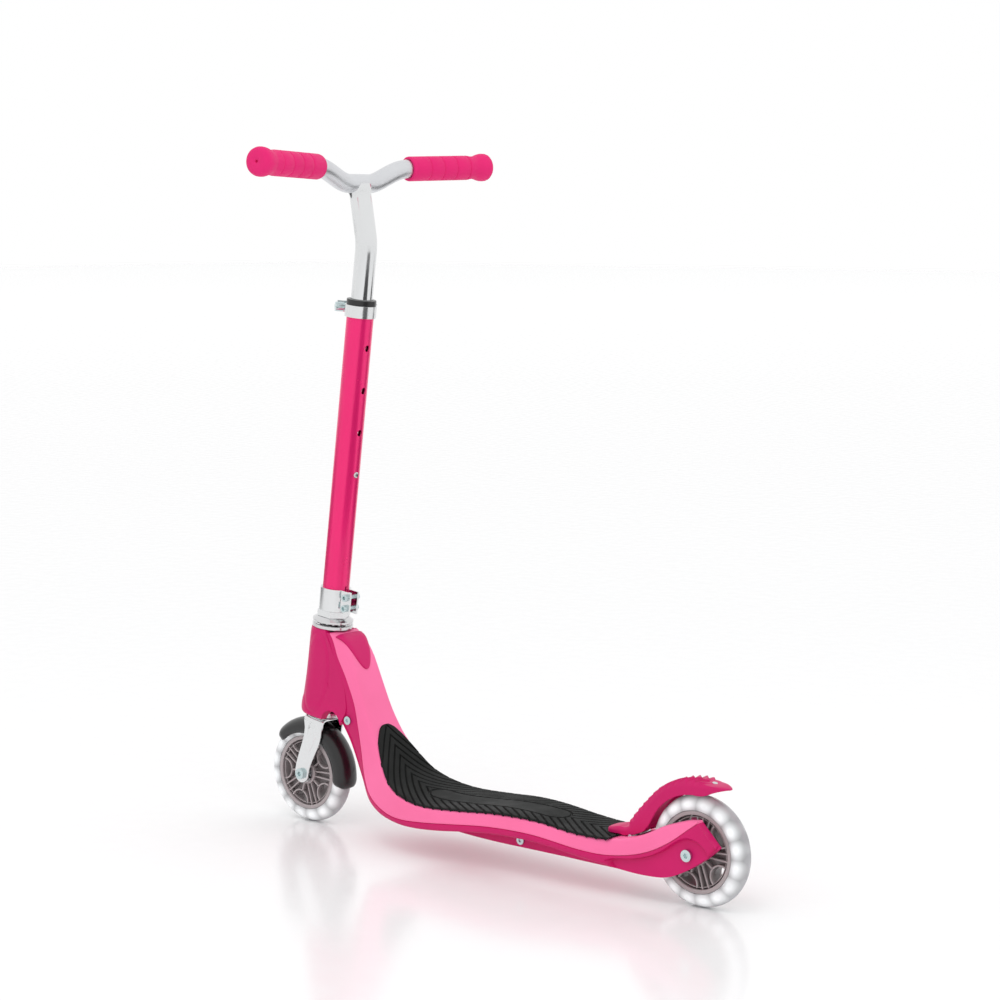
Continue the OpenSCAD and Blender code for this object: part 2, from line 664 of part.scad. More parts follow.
module fork() {
    color("gainsboro") difference() {
        union() {
            on_axis(0) both_sides() translate([0, leg_y + fork_wall, 0]) rotate([90, 0, 0])
                linear_extrude(fork_wall) {
                    translate([fork_offset, 0]) circle(r = 11);
                    polygon([[fork_offset - 10.5, -4], [fork_offset + 10.5, -4], [13, crown_s - 14],
                        [17, race_s], [-15, race_s], [-14, crown_s - 14]]);
                }
            on_axis(crown_s) translate([-15, -leg_y - fork_wall, 0]) cube([32, 2 * (leg_y + fork_wall), fork_wall]);
        }
        at_front() y_rod(axle_r + fit, -60, 60);
        on_axis(crown_s - 5) cylinder(h = 20, r = steerer_r - steerer_wall, $fn = round_fn);
    }
}
module steerer_tube() {
    color("silver") on_axis(race_s) tube(steerer_r, steerer_r - steerer_wall, steerer_top_s - race_s);
}
module column_tube() {
    color("deeppink") on_axis(0) difference() {
        translate([0, 0, column_s]) tube(column_r, column_in_r, column_len);
        for (i = [0 : 3]) translate([-column_r, 0, low_hole_s + i * hole_pitch]) rotate([0, 90, 0])
            cylinder(h = 2 * (column_r - column_in_r) + 6, d = hole_d, center = true);
        // slots: at the foot behind, at the top under the ears of the clamp
        for (p = [[180, column_s - 1], [clamp_yaw, column_top_s - 34]])
            rotate(p[0]) translate([column_in_r - 2, -1.2, p[1]]) cube([column_r - column_in_r + 4, 2.4, 36]);
    }
}
// Collar that squeezes the slotted foot of the column onto the steerer
module lower_clamp() {
    color("gainsboro") on_axis(column_s) difference() {
        union() {
            cylinder(h = clamp_low_h, r = column_r + 2.4, $fn = round_fn);
            for (y = [5, -7.5]) translate([-column_r - 15, y, 0]) cube([16, 2.5, clamp_low_h]);
        }
        translate([0, 0, -1]) cylinder(h = clamp_low_h + 2, r = column_r + fit, $fn = round_fn);
        translate([-column_r - 6, -5, -1]) cube([12, 10, clamp_low_h + 2]);
        for (s = [7, clamp_low_h - 7]) translate([-column_r - 9, 0, s]) y_rod(2.5 + fit, -20, 20);
    }
}
module lower_clamp_bolts() {
    color("lightsteelblue") on_axis(column_s) for (s = [7, clamp_low_h - 7])
        translate([-column_r - 9, 0, s]) {
            y_rod(2.5, -7.5, 7.5);
            difference() {
                y_rod(4.2, 7.5, 11.5);
                y_hex(4, 9, 13);
            }
            mirror([0, 1, 0]) y_hex(8, 7.5, 11.5);
        }
}
module column_bushing() {
    color("#1a1a1a") on_axis(0) {
        difference() {
            translate([0, 0, column_top_s]) cylinder(h = flange_h, r = column_r + 1.4, $fn = round_fn);
            translate([0, 0, column_top_s - 1]) cylinder(h = flange_h + 2, r = stem_r + fit, $fn = round_fn);
        }
        translate([0, 0, column_top_s - 40]) tube(column_in_r - fit, stem_r + fit, 40);
    }
}
// Band and ears of the quick-release clamp; the ears point ahead and to the rider's right
module at_top_clamp() { on_axis(column_top_s - clamp_top_h) rotate(clamp_yaw) children(); }
ear_y = ear_gap / 2 + ear_h;
module upper_clamp() {
    color("gainsboro") at_top_clamp() difference() {
        union() {
            cylinder(h = clamp_top_h, r = column_r + clamp_band, $fn = round_fn);
            for (y = [ear_gap / 2, -ear_y]) translate([column_r, y, 0]) cube([ear_reach - column_r + 5, ear_h, clamp_top_h]);
        }
        translate([0, 0, -1]) cylinder(h = clamp_top_h + 2, r = column_r + fit, $fn = round_fn);
        translate([column_r - 4, -ear_gap / 2, -1]) cube([20, ear_gap, clamp_top_h + 2]);
        translate([ear_reach, 0, clamp_top_h / 2]) y_rod(skewer_r + fit, -40, 40);
    }
}
nut_y = 25;
cam_y = -19;
cam_r = 5.5;
module clamp_skewer() {
    color("lightsteelblue") at_top_clamp() translate([ear_reach, 0, clamp_top_h / 2]) {
        y_rod(skewer_r, cam_y - 1.5, nut_y - 2);
        // cross pin that the lever turns on
        translate([0, cam_y, -clamp_top_h / 2 + 1]) cylinder(h = clamp_top_h - 2, r = 2, $fn = round_fn);
        // pressure washer under the cam
        y_tube(5.5, skewer_r, cam_y + cam_r + gap, -ear_y);
    }
}
module adjuster_nut() {
    color("lightsteelblue") at_top_clamp() translate([ear_reach, 0, clamp_top_h / 2]) difference() {
        union() {
            y_rod(4.5, ear_y, ear_y + 14);
            y_rod(5.5, ear_y + 10, nut_y);
        }
        y_rod(skewer_r, 0, nut_y - 2);
        for (x = [-2.6, 2.6]) translate([x, 0, 0]) y_rod(0.8, nut_y - 1.5, nut_y + 1);
    }
}
// Forked cam lever, folded round the ears when it is shut
module clamp_lever() {
    color("gainsboro") at_top_clamp() translate([ear_reach, cam_y, 0]) difference() {
        union() {
            translate([0, 0, 0.5]) cylinder(h = clamp_top_h - 1, r = cam_r);
            translate([0, -cam_r, 0.5]) cube([9, 3, clamp_top_h - 1]);
            translate([6.5, -cam_r, 0.5]) cube([3, 46, clamp_top_h - 1]);
        }
        translate([0, 0, -1]) cylinder(h = clamp_top_h + 2, r = 2 + fit, $fn = round_fn);
        // slot for the skewer, which also lets the lever swing open
        translate([0, 0, clamp_top_h / 2 - skewer_r - 0.4]) lever_slot(2 * skewer_r + 0.8);
    }
}
module lever_slot(h) {
    translate([-cam_r - 1, -2.4, 0]) cube([cam_r + 4, cam_r + 8, h]);
    cylinder(h = h, r = 3.6);
    translate([-cam_r - 1, -cam_r - 1, 0]) cube([cam_r + 1, 2 * cam_r + 2, h]);
}

// ---------- T-bar ----------

bend_end = bend_r * [1 - cos(bend_a), sin(bend_a)];
arm_len = (bar_s - bend_s - bend_end[1]) / cos(bend_a);
bar_u = bend_end[0] + arm_len * sin(bend_a);
// One bent tube: straight, curved forward, then straight up to the bar
stem_path = concat([[0, 0, stem_low_s]],
    [for (a = [0 : bend_a / 8 : bend_a]) [bend_r * (1 - cos(a)), 0, bend_s + bend_r * sin(a)]],
    [[bar_u, 0, bar_s]]);
module stem_tube() {
    color("gainsboro") on_axis(0) difference() {
        sweep(stem_path, stem_r, [0, 1, 0]);
        sweep(concat([stem_path[0] - [0, 0, 1]], stem_path), stem_r - stem_wall, [0, 1, 0]);
        translate([bar_u, 0, bar_s]) y_rod(bar_d / 2, -30, 30);
        translate([-stem_r, 0, low_hole_s]) rotate([0, 90, 0])
            cylinder(h = 10, r = button_r + fit, center = true);
    }
}

// Gull-wing bar: a dip in the middle, straight ends that sweep back under the grips
grip_sweep = 25 / 130;
bar_c = head_pt(bar_u, bar_s);
bar_lift = 18;
grip_in = [bar_c[0] - 7, bar_w / 2 - grip_len, bar_c[1] + bar_lift];
grip_out = grip_in + (grip_len - 2) * unit([-grip_sweep, 1, 0.03]);
grip_dir = unit(grip_out - grip_in);
bar_flat = 16;
bar_wall = 1.8;
function bezier(a, b, c, d, t) = pow(1 - t, 3) * a + 3 * pow(1 - t, 2) * t * b + 3 * (1 - t) * t * t * c
    + t * t * t * d;
half_path = concat([for (i = [0 : 12]) bezier([bar_c[0], bar_flat, bar_c[1]], [bar_c[0], bar_flat + 18, bar_c[1]],
    grip_in - 24 * grip_dir, grip_in, i / 12)], [grip_in + 40 * grip_dir, grip_out]);
bar_path = concat(flip([for (p = half_path) [p[0], -p[1], p[2]]]), half_path);
// Bent middle, with round tube ends under the grips
bent_path = [for (p = bar_path) if (abs(p[1]) < grip_in[1] + 1) p];
module handlebar() {
    color("silver") difference() {
        union() {
            sweep(bent_path, bar_d / 2, [0, 0, 1]);
            both_sides() along_grip() cylinder(h = grip_len - 2, r = bar_d / 2, $fn = round_fn);
        }
        both_sides() along_grip() translate([0, 0, 3])
            cylinder(h = grip_len, r = bar_d / 2 - bar_wall, $fn = round_fn);
    }
}
module along_grip() {
    translate(grip_in) rotate([0, 0, atan2(grip_dir[1], grip_dir[0])])
        rotate([0, 90 - asin(grip_dir[2]), 0]) children();
}
module grip() {
    r = grip_d / 2;
    end_r = r + 2;
    color("mediumvioletred") along_grip() difference() {
        rotate_extrude($fn = round_fn) polygon([[0, 0], [r - 1.5, 0], [r, 2], [r, grip_len * 0.72],
            [r - 1.6, grip_len * 0.8], [r - 1, grip_len * 0.86], [end_r, grip_len - 9], [end_r, grip_len - 4],
            [end_r - 3, grip_len], [0, grip_len]]);
        translate([0, 0, -1]) cylinder(h = grip_len - 1, r = bar_d / 2 + fit, $fn = round_fn);
        translate([0, 0, grip_len - 4]) cylinder(h = 8, r = 1.5);
    }
}
module left_grip() { grip(); }
module right_grip() { mirror([0, 1, 0]) grip(); }

// Spring button that locks the stem in a height hole
button_r = hole_d / 2 - 0.2;
button_out = 1.2;
module snap_button() {
    color("silver") on_axis(low_hole_s) rotate([0, -90, 0]) {
        cylinder(h = column_r + button_out - 0.8, r = button_r);
        translate([0, 0, column_r + button_out - 0.8]) cylinder(h = 0.8, r1 = button_r, r2 = button_r - 0.8, $fn = 32);
        translate([0, 0, stem_r - stem_wall - 3]) cylinder(h = 1.5, r = button_r + 1);
    }
}
module button_spring() {
    color("gray") on_axis(low_hole_s) {
        translate([stem_r - stem_wall - 1.6, -3, -4]) cube([1.2, 6, 8]);
        rotate([0, 90, 0]) translate([0, 0, 0.3]) cylinder(h = stem_r - stem_wall - 1.7, r = 2.5);
    }
}

// ---------- front mudguard ----------

guard_in = wheel_r + guard_gap;
guard_side = wheel_w / 2 + 1.6;
module front_mudguard() {
    color("#1c1c1c") at_front() difference() {
        guard_arc(guard_in + guard_wall, guard_side + guard_wall, 13);
        guard_arc(guard_in, guard_side, 20);
        translate([0, 0, guard_in - 1]) cylinder(h = 10, r = 2.5 + fit);
    }
}
module guard_arc(r, half_w, depth) {
    rotate([90, 0, 0]) rotate([0, 0, 42]) rotate_extrude(angle = 152, $fn = round_fn)
        translate([r - depth, -half_w]) square([depth, 2 * half_w]);
}
module mudguard_screw() {
    color("lightsteelblue") at_front() {
        translate([0, 0, guard_in - 1.6]) cylinder(h = 1.2, r = 4.5);
        translate([0, 0, guard_in - 1.2]) cylinder(h = guard_wall + 4, r = 2.5);
    }
}

spine_tube();
head_tube();
rear_dropouts();
lower_shell();
top_cover();
head_shell();
neck_cap();
tread_mat();
shell_bolts();
lower_cup();
upper_cup();
headset_balls();
rear_axle_bolt();
rear_axle_nut();
rear_spacers();
rear_magnet_sleeve();
rear_bearing_inner();
fender_pin();
fender_spring();
rear_tyre();
rear_core();
rear_led_ring();
rear_bearing_outer();
rear_bearing_balls();
fender();
brake_liner();
fender_rivet();
fork();
steerer_tube();
crown_race();
adjusting_cone();
lock_nut();
lower_clamp();
lower_clamp_bolts();
column_tube();
column_bushing();
upper_clamp();
clamp_skewer();
adjuster_nut();
front_mudguard();
mudguard_screw();
front_axle_bolt();
front_axle_nut();
front_spacers();
front_magnet_sleeve();
front_bearing_inner();
front_tyre();
front_core();
front_led_ring();
front_bearing_outer();
front_bearing_balls();
clamp_lever();
stem_tube();
handlebar();
left_grip();
right_grip();
button_spring();
snap_button();
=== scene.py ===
# %% [markdown]
# # A child's kick scooter
# The scooter has a moulded plastic body over a steel spine, two small light-up wheels, and a T-bar that
# slides in a painted column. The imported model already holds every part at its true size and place. This
# lesson gives the parts that show their finished shape and their finish. It works from large to small:
# the body first, then the wheels, the brake, the fork, the column and the T-bar.

# %% Load the scooter
import json
from math import atan2, cos, pi, radians, sin, sqrt
import bmesh
import bpy
from mathutils import Matrix, Vector


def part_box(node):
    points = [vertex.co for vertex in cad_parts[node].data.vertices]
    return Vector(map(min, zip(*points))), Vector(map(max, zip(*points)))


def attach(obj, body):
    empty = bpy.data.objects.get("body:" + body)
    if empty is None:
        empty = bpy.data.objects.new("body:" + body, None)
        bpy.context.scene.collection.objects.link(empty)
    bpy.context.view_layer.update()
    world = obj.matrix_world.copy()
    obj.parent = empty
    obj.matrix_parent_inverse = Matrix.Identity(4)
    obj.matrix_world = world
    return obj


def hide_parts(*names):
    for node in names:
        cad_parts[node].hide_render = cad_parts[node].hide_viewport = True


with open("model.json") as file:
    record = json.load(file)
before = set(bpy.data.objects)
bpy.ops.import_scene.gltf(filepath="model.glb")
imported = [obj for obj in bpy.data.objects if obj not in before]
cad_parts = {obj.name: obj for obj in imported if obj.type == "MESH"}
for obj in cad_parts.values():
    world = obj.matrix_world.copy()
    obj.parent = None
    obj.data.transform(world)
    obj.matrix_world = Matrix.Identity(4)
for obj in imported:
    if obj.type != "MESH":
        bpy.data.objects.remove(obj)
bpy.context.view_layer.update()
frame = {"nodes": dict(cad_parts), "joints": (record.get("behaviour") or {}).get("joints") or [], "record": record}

# %% [markdown]
# Every place on the scooter is known from a few joints: the two axles and the steering axis. Sizes are
# written in millimetres, as on a workshop drawing, and MM turns them into metres. A point of the body is
# given ahead of the rear axle, left of the middle and above the ground. A point of the steering is given
# ahead of the steering axis, left of it, and up along it.

# %% Places
MM = 0.001
joints = {joint["name"]: joint for joint in frame["joints"]}
rear_axle = Vector(joints["rear_spin"]["pos_m"])
front_axle = Vector(joints["front_spin"]["pos_m"])
steer_foot = Vector(joints["steer"]["pos_m"])
steer_up = Vector(joints["steer"]["axis"])
steer_ahead = Vector((steer_up.z, 0, -steer_up.x))
axle_height = rear_axle.z / MM


def spot(x, y, z):
    return Vector((rear_axle.x + x * MM, y * MM, z * MM))


def stack(ahead, left, up):
    return steer_foot + (steer_ahead * ahead + steer_up * up) * MM + Vector((0, left * MM, 0))


print("wheelbase in mm:", round((front_axle.x - rear_axle.x) / MM, 1))

# %% [markdown]
# A smooth line through a few points is all that most of the body needs. The curve below passes through
# every point it is given, so a drawing's points can be used as they are. It works on rows of any length,
# which lets one row hold a whole cross-section.

# %% A smooth line through rows of numbers
def smooth(rows, steps):
    last = len(rows) - 1
    line = []
    for i in range(last):
        a, b, c, d = rows[max(i - 1, 0)], rows[i], rows[i + 1], rows[min(i + 2, last)]
        for k in range(steps):
            t = k / steps
            line.append([
                0.5 * (2 * q + (r - p) * t + (2 * p - 5 * q + 4 * r - s) * t * t
                       + (3 * q - p - 3 * r + s) * t ** 3)
                for p, q, r, s in zip(a, b, c, d)
            ])
    line.append(list(rows[last]))
    return line


# %% [markdown]
# A moulded shell can be sculpted, or lofted over ribs as a boat is planked. Ribs are chosen here because
# each one can be checked against a size. The first rib is a chain of vertices, and each next one is
# extruded from it and moved to its own places, so the operator makes the faces. Round parts are turned
# with the spin operator, as on a lathe.

# %% Shaping helpers
def lofted(ribs, closed=True, capped=True):
    bm = bmesh.new()
    rib = [bm.verts.new(p) for p in ribs[0]]
    first = rib
    turns = len(rib) if closed else len(rib) - 1
    edges = [bm.edges.new((rib[i], rib[(i + 1) % len(rib)])) for i in range(turns)]
    for places in ribs[1:]:
        grown = bmesh.ops.extrude_edge_only(bm, edges=edges)["geom"]
        fresh = {v for v in grown if isinstance(v, bmesh.types.BMVert)}
        rib = [next(e.other_vert(v) for e in v.link_edges if e.other_vert(v) in fresh) for v in rib]
        for vert, place in zip(rib, places):
            vert.co = place
        edges = [bm.edges.get((rib[i], rib[(i + 1) % len(rib)])) for i in range(turns)]
    if closed and capped:
        bmesh.ops.contextual_create(bm, geom=first)
        bmesh.ops.contextual_create(bm, geom=rib)
    return bm


def turned(profile, segments=96, angle=2 * pi):
    """Profile points are (radius, height) in millimetres, turned about Z."""
    bm = bmesh.new()
    verts = [bm.verts.new((r * MM, 0, z * MM)) for r, z in profile]
    edges = [bm.edges.new(pair) for pair in zip(verts, verts[1:])]
    bmesh.ops.spin(bm, geom=verts + edges, axis=(0, 0, 1), cent=(0, 0, 0), dvec=(0, 0, 0),
                   angle=angle, steps=segments, use_merge=angle > 6.28, use_duplicate=False)
    bmesh.ops.remove_doubles(bm, verts=bm.verts, dist=0.002 * MM)
    return bm


def moved(bm, matrix):
    bmesh.ops.transform(bm, matrix=matrix, verts=bm.verts)
    return bm


def across_at(centre):
    """Turns a lathe's Z axis to run across the scooter, through a centre."""
    return Matrix.Translation(centre) @ Matrix.Rotation(-pi / 2, 4, "X")


def along_steering(height, turn=0):
    tilt = atan2(-steer_up.x, steer_up.z)
    return Matrix.Translation(stack(0, 0, height)) @ Matrix.Rotation(-tilt, 4, "Y") @ Matrix.Rotation(turn, 4, "Z")


# %% [markdown]
# A finished mesh becomes a piece: it gets a name, a material and the body it rides on, and the nodes it
# stands for are hidden. Modifiers that a later cut depends on are settled into the mesh first. A cut is a boolean
# with a helper that is thrown away.

# %% Piece helpers
def show(bm, name, body, material, nodes=(), sharp=35, recalc=True):
    if recalc:
        bmesh.ops.recalc_face_normals(bm, faces=bm.faces)
    mesh = bpy.data.meshes.new(name)
    bm.to_mesh(mesh)
    bm.free()
    piece = bpy.data.objects.new(name, mesh)
    bpy.context.scene.collection.objects.link(piece)
    mesh.materials.append(material)
    dress(piece, sharp)
    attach(piece, body)
    if nodes:
        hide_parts(*nodes)
    return piece


def dress(piece, sharp=35):
    piece.data.shade_smooth()
    piece.data.set_sharp_from_angle(angle=radians(sharp))


def settle(piece):
    view = bpy.context.evaluated_depsgraph_get()
    mesh = bpy.data.meshes.new_from_object(piece.evaluated_get(view))
    piece.modifiers.clear()
    old = piece.data
    piece.data = mesh
    mesh.name = piece.name
    bpy.data.meshes.remove(old)


def subdivide(piece, levels=1):
    modifier = piece.modifiers.new("smooth", "SUBSURF")
    modifier.levels = levels
    modifier.render_levels = levels
    return modifier


def thicken(piece, thickness, offset=-1):
    modifier = piece.modifiers.new("wall", "SOLIDIFY")
    modifier.thickness = thickness * MM
    modifier.offset = offset
    return modifier


def soften(piece, width, segments=3, angle=35):
    modifier = piece.modifiers.new("edges", "BEVEL")
    modifier.width = width * MM
    modifier.segments = segments
    modifier.limit_method = "ANGLE"
    modifier.angle_limit = radians(angle)
    modifier.harden_normals = False
    return modifier


def carve(piece, cutter_bm, operation="DIFFERENCE"):
    bmesh.ops.recalc_face_normals(cutter_bm, faces=cutter_bm.faces)
    mesh = bpy.data.meshes.new("cutter")
    cutter_bm.to_mesh(mesh)
    cutter_bm.free()
    cutter = bpy.data.objects.new("cutter", mesh)
    bpy.context.scene.collection.objects.link(cutter)
    modifier = piece.modifiers.new("cut", "BOOLEAN")
    modifier.object = cutter
    modifier.operation = operation
    modifier.solver = "EXACT"
    settle(piece)
    bpy.data.objects.remove(cutter)
    bpy.data.meshes.remove(mesh)


def block(size, centre, bevel=0):
    bm = bmesh.new()
    bmesh.ops.create_cube(bm, size=1)
    bmesh.ops.scale(bm, vec=Vector(size) * MM, verts=bm.verts)
    bmesh.ops.translate(bm, vec=centre, verts=bm.verts)
    if bevel:
        bmesh.ops.bevel(bm, geom=bm.edges[:], offset=bevel * MM, offset_type="OFFSET", affect="EDGES",
                        segments=4, profile=0.5, material=-1)
    return bm


# %% [markdown]
# ## Finishes
# Real plastic, rubber and chrome are never one flat value. Two effects are shared by most finishes here:
# a fine grain that the mould leaves, and faint scuffs that make the gloss uneven. Each is a node group
# with named sockets, so every finish sets its own scale. A painted picture could do the same, but a
# pattern worked out from the object's own coordinates needs no file and keeps its size.

# %% Shared effects
def group(name, inputs, outputs):
    tree = bpy.data.node_groups.new(name, "ShaderNodeTree")
    for label, value in inputs:
        socket = tree.interface.new_socket(label, in_out="INPUT", socket_type="NodeSocketFloat")
        socket.default_value = value
    for label in outputs:
        tree.interface.new_socket(label, in_out="OUTPUT", socket_type="NodeSocketFloat")
    return tree, tree.nodes.new("NodeGroupInput"), tree.nodes.new("NodeGroupOutput")


def noise(tree, place, scale, detail=3):
    node = tree.nodes.new("ShaderNodeTexNoise")
    node.inputs["Detail"].default_value = detail
    tree.links.new(place, node.inputs["Vector"])
    if isinstance(scale, (int, float)):
        node.inputs["Scale"].default_value = scale
    else:
        tree.links.new(scale, node.inputs["Scale"])
    return node.outputs["Fac"]


def mapped(tree, value, low, high, to_low, to_high):
    node = tree.nodes.new("ShaderNodeMapRange")
    node.inputs["From Min"].default_value = low
    node.inputs["From Max"].default_value = high
    for socket, number in (("To Min", to_low), ("To Max", to_high)):
        if isinstance(number, (int, float)):
            node.inputs[socket].default_value = number
        else:
            tree.links.new(number, node.inputs[socket])
    tree.links.new(value, node.inputs["Value"])
    return node.outputs["Result"]


def make_grain():
    tree, given, out = group("moulded_grain", [("Scale", 1800)], ["Height"])
    place = tree.nodes.new("ShaderNodeTexCoord").outputs["Object"]
    tree.links.new(noise(tree, place, given.outputs["Scale"], 2), out.inputs["Height"])
    return tree


def make_scuffs():
    tree, given, out = group("faint_scuffs", [("Clean", 0.3), ("Rubbed", 0.42)], ["Roughness"])
    place = tree.nodes.new("ShaderNodeTexCoord").outputs["Object"]
    cloud = noise(tree, place, 38, 6)
    result = mapped(tree, cloud, 0.35, 0.72, given.outputs["Clean"], given.outputs["Rubbed"])
    tree.links.new(result, out.inputs["Roughness"])
    return tree


grain_group = make_grain()
scuff_group = make_scuffs()

# %% [markdown]
# One recipe covers most of the finishes: a principled shader whose roughness comes from the scuffs and
# whose normal comes from the grain, with a slight drift in colour. Metallic paint, coat and sheen are
# plain numbers on the shader itself.

# %% The finish recipe
def finish(name, colour, rough=(0.3, 0.4), grain=0, grain_scale=1800, drift=0.04, **plain):
    material = bpy.data.materials.new(name)
    material.use_nodes = True
    tree = material.node_tree
    shader = tree.nodes["Principled BSDF"]
    for socket, value in plain.items():
        shader.inputs[socket.replace("_", " ")].default_value = value
    place = tree.nodes.new("ShaderNodeTexCoord").outputs["Object"]
    ramp = tree.nodes.new("ShaderNodeValToRGB")
    ramp.color_ramp.elements[0].position = 0.3
    ramp.color_ramp.elements[0].color = (*[c * (1 - drift) for c in colour], 1)
    ramp.color_ramp.elements[1].position = 0.7
    ramp.color_ramp.elements[1].color = (*[min(1, c * (1 + drift)) for c in colour], 1)
    tree.links.new(noise(tree, place, 14, 4), ramp.inputs["Fac"])
    tree.links.new(ramp.outputs["Color"], shader.inputs["Base Color"])
    scuffs = tree.nodes.new("ShaderNodeGroup")
    scuffs.node_tree = scuff_group
    scuffs.inputs["Clean"].default_value = rough[0]
    scuffs.inputs["Rubbed"].default_value = rough[1]
    tree.links.new(scuffs.outputs["Roughness"], shader.inputs["Roughness"])
    if grain:
        moulded = tree.nodes.new("ShaderNodeGroup")
        moulded.node_tree = grain_group
        moulded.inputs["Scale"].default_value = grain_scale
        bump = tree.nodes.new("ShaderNodeBump")
        bump.inputs["Strength"].default_value = grain
        bump.inputs["Distance"].default_value = 0.2 * MM
        tree.links.new(moulded.outputs["Height"], bump.inputs["Height"])
        tree.links.new(bump.outputs["Normal"], shader.inputs["Normal"])
    return material


magenta_plastic = finish("magenta_plastic", (0.61, 0.004, 0.13), (0.4, 0.5), grain=0.1,
                         Specular_IOR_Level=0.3)
pink_plastic = finish("pink_plastic", (1.0, 0.17, 0.39), (0.4, 0.5), grain=0.08,
                      Specular_IOR_Level=0.3)
mat_rubber = finish("mat_rubber", (0.006, 0.007, 0.0065), (0.6, 0.75), grain=0.5, grain_scale=1400, drift=0.15,
                    Specular_IOR_Level=0.25)
grip_rubber = finish("grip_rubber", (0.78, 0.012, 0.165), (0.55, 0.66), grain=0.3, grain_scale=2400,
                     Specular_IOR_Level=0.3)
column_paint = finish("column_paint", (0.88, 0.01, 0.17), (0.25, 0.28), drift=0.03,
                      Metallic=0.45, Coat_Weight=0.3, Coat_Roughness=0.06)
chrome = finish("chrome", (0.74, 0.75, 0.755), (0.12, 0.2), drift=0.02, Metallic=1.0)
satin_alloy = finish("satin_alloy", (0.7, 0.71, 0.73), (0.36, 0.42), grain=0.08, grain_scale=900, Metallic=1.0)
zinc_steel = finish("zinc_steel", (0.55, 0.66, 0.67), (0.2, 0.34), drift=0.1, Metallic=1.0)
bearing_steel = finish("bearing_steel", (0.66, 0.66, 0.67), (0.12, 0.22), Metallic=1.0)
dark_steel = finish("dark_steel", (0.05, 0.05, 0.055), (0.35, 0.5), grain=0.15, Metallic=0.3)
spring_steel = finish("spring_steel", (0.3, 0.3, 0.31), (0.3, 0.45), Metallic=1.0)
black_plastic = finish("black_plastic", (0.003, 0.003, 0.0035), (0.34, 0.42), grain=0.04, drift=0.1,
                       Coat_Weight=0.3, Coat_Roughness=0.1)
smoked_plastic = finish("smoked_plastic", (0.27, 0.235, 0.238), (0.3, 0.42), grain=0.08,
                        Transmission_Weight=0.1, Coat_Weight=0.2)


def paint_light_on_faces(material, near, far, colour):
    """Painted light and shade: the smoked plastic is painted paler towards the wheel's faces, either side of the
    middle, and darker in the middle, deep inside the tyre.
    """
    tree = material.node_tree
    shader = tree.nodes["Principled BSDF"]
    parts = tree.nodes.new("ShaderNodeSeparateXYZ")
    tree.links.new(tree.nodes.new("ShaderNodeTexCoord").outputs["Object"], parts.inputs["Vector"])
    away = tree.nodes.new("ShaderNodeMath")
    away.operation = "ABSOLUTE"
    tree.links.new(parts.outputs["Y"], away.inputs[0])
    mix = tree.nodes.new("ShaderNodeMix")
    mix.data_type = "RGBA"
    tree.links.new(mapped(tree, away.outputs["Value"], near, far, 0.0, 1.0), mix.inputs["Factor"])
    tree.links.new(shader.inputs["Base Color"].links[0].from_socket, mix.inputs["A"])
    mix.inputs["B"].default_value = (*colour, 1)
    tree.links.new(mix.outputs["Result"], shader.inputs["Base Color"])


# Painted light and shade on the wheel cores: paler towards the faces, darker in the middle.
paint_light_on_faces(smoked_plastic, 0.0055, 0.0105, (0.46, 0.4, 0.405))
light_board = finish("light_board", (0.9, 0.92, 0.95), (0.3, 0.4))
print("finishes:", len(bpy.data.materials))

# %% [markdown]
# ## The body
# The body is one flowing form in two colours: a pink cover on top and a magenta hull below. Side view
# and plan are fixed by a handful of stations, from the arms beside the rear wheel to the top of the
# neck. Each row gives the top line, the line where the colours meet and the belly, with a half width for
# each, and how far down the outer wall goes before it turns in to the keel.

# %% Stations of the body
stations = [
    # top x, z, half width | colour line x, z, half width | belly x, z, half width | wall
    (-13, 99.0, 26, -14, 97.0, 29.0, -38, 73, 28, 1.0),
    (1, 97.0, 26, 1, 86.0, 29.8, -22, 59, 29, 1.0),
    (16, 92.2, 26, 20, 72.0, 30.2, 2, 43, 29, 1.0),
    (34, 85.5, 26, 40, 60.5, 30.8, 24, 33, 29, 1.0),
    (50, 77.0, 27, 60, 52.5, 31.6, 48, 30, 29, 0.98),
    (70, 68.5, 29, 84, 47.0, 33.4, 76, 29, 28, 0.85),
    (100, 62.5, 32.5, 109, 44.8, 37.0, 105, 28, 26, 0.62),
    (135, 62.0, 36.2, 138, 46.6, 41.0, 138, 27, 23, 0.46),
    (165, 64.2, 37.2, 167, 50.0, 43.0, 167, 27, 22, 0.38),
    (192, 67.0, 38.5, 195, 53.0, 45.0, 195, 27, 22, 0.34),
    (225, 68.5, 42.0, 228, 54.0, 48.0, 228, 27, 22, 0.33),
    (260, 67.8, 46.2, 263, 53.0, 51.6, 263, 27, 22, 0.34),
    (300, 64.5, 50.6, 302, 49.3, 55.4, 300, 28, 22, 0.42),
    (345, 62.0, 53.2, 347, 44.6, 57.6, 344, 31, 23, 0.66),
    (375, 64.3, 51.2, 384, 42.6, 56.6, 380, 34, 27, 0.9),
    (400, 71.0, 46.6, 414, 47.0, 51.4, 414, 39, 32, 1.0),
    (418, 82.0, 40.0, 441, 59.0, 43.4, 440, 48.5, 33, 1.0),
    (432, 98.0, 32.5, 457, 78.0, 35.4, 456, 61, 30, 1.0),
    (446, 117.5, 26.5, 467, 104.0, 29.4, 471, 86, 27, 1.0),
    (456, 134.5, 23.5, 475.7, 135.0, 26.6, 487, 115, 25, 1.0),
    (466, 153.0, 22.0, 482.5, 160.0, 25.4, 505, 140, 24, 1.0),
    (478, 180.5, 21.0, 496.5, 190.0, 25.0, 524, 175, 24, 1.0),
    (488.5, 207.0, 19.5, 509.0, 211.0, 24.8, 532, 203, 24, 1.0),
    (496.5, 222.0, 18.0, 514.5, 224.5, 24.4, 536, 220, 23.5, 1.0),
    (504.5, 231.5, 17.0, 519.0, 233.5, 24.2, 538, 230, 23, 1.0),
    (512.5, 236.0, 15.0, 523.0, 238.5, 24.0, 540, 236, 23, 1.0),
]
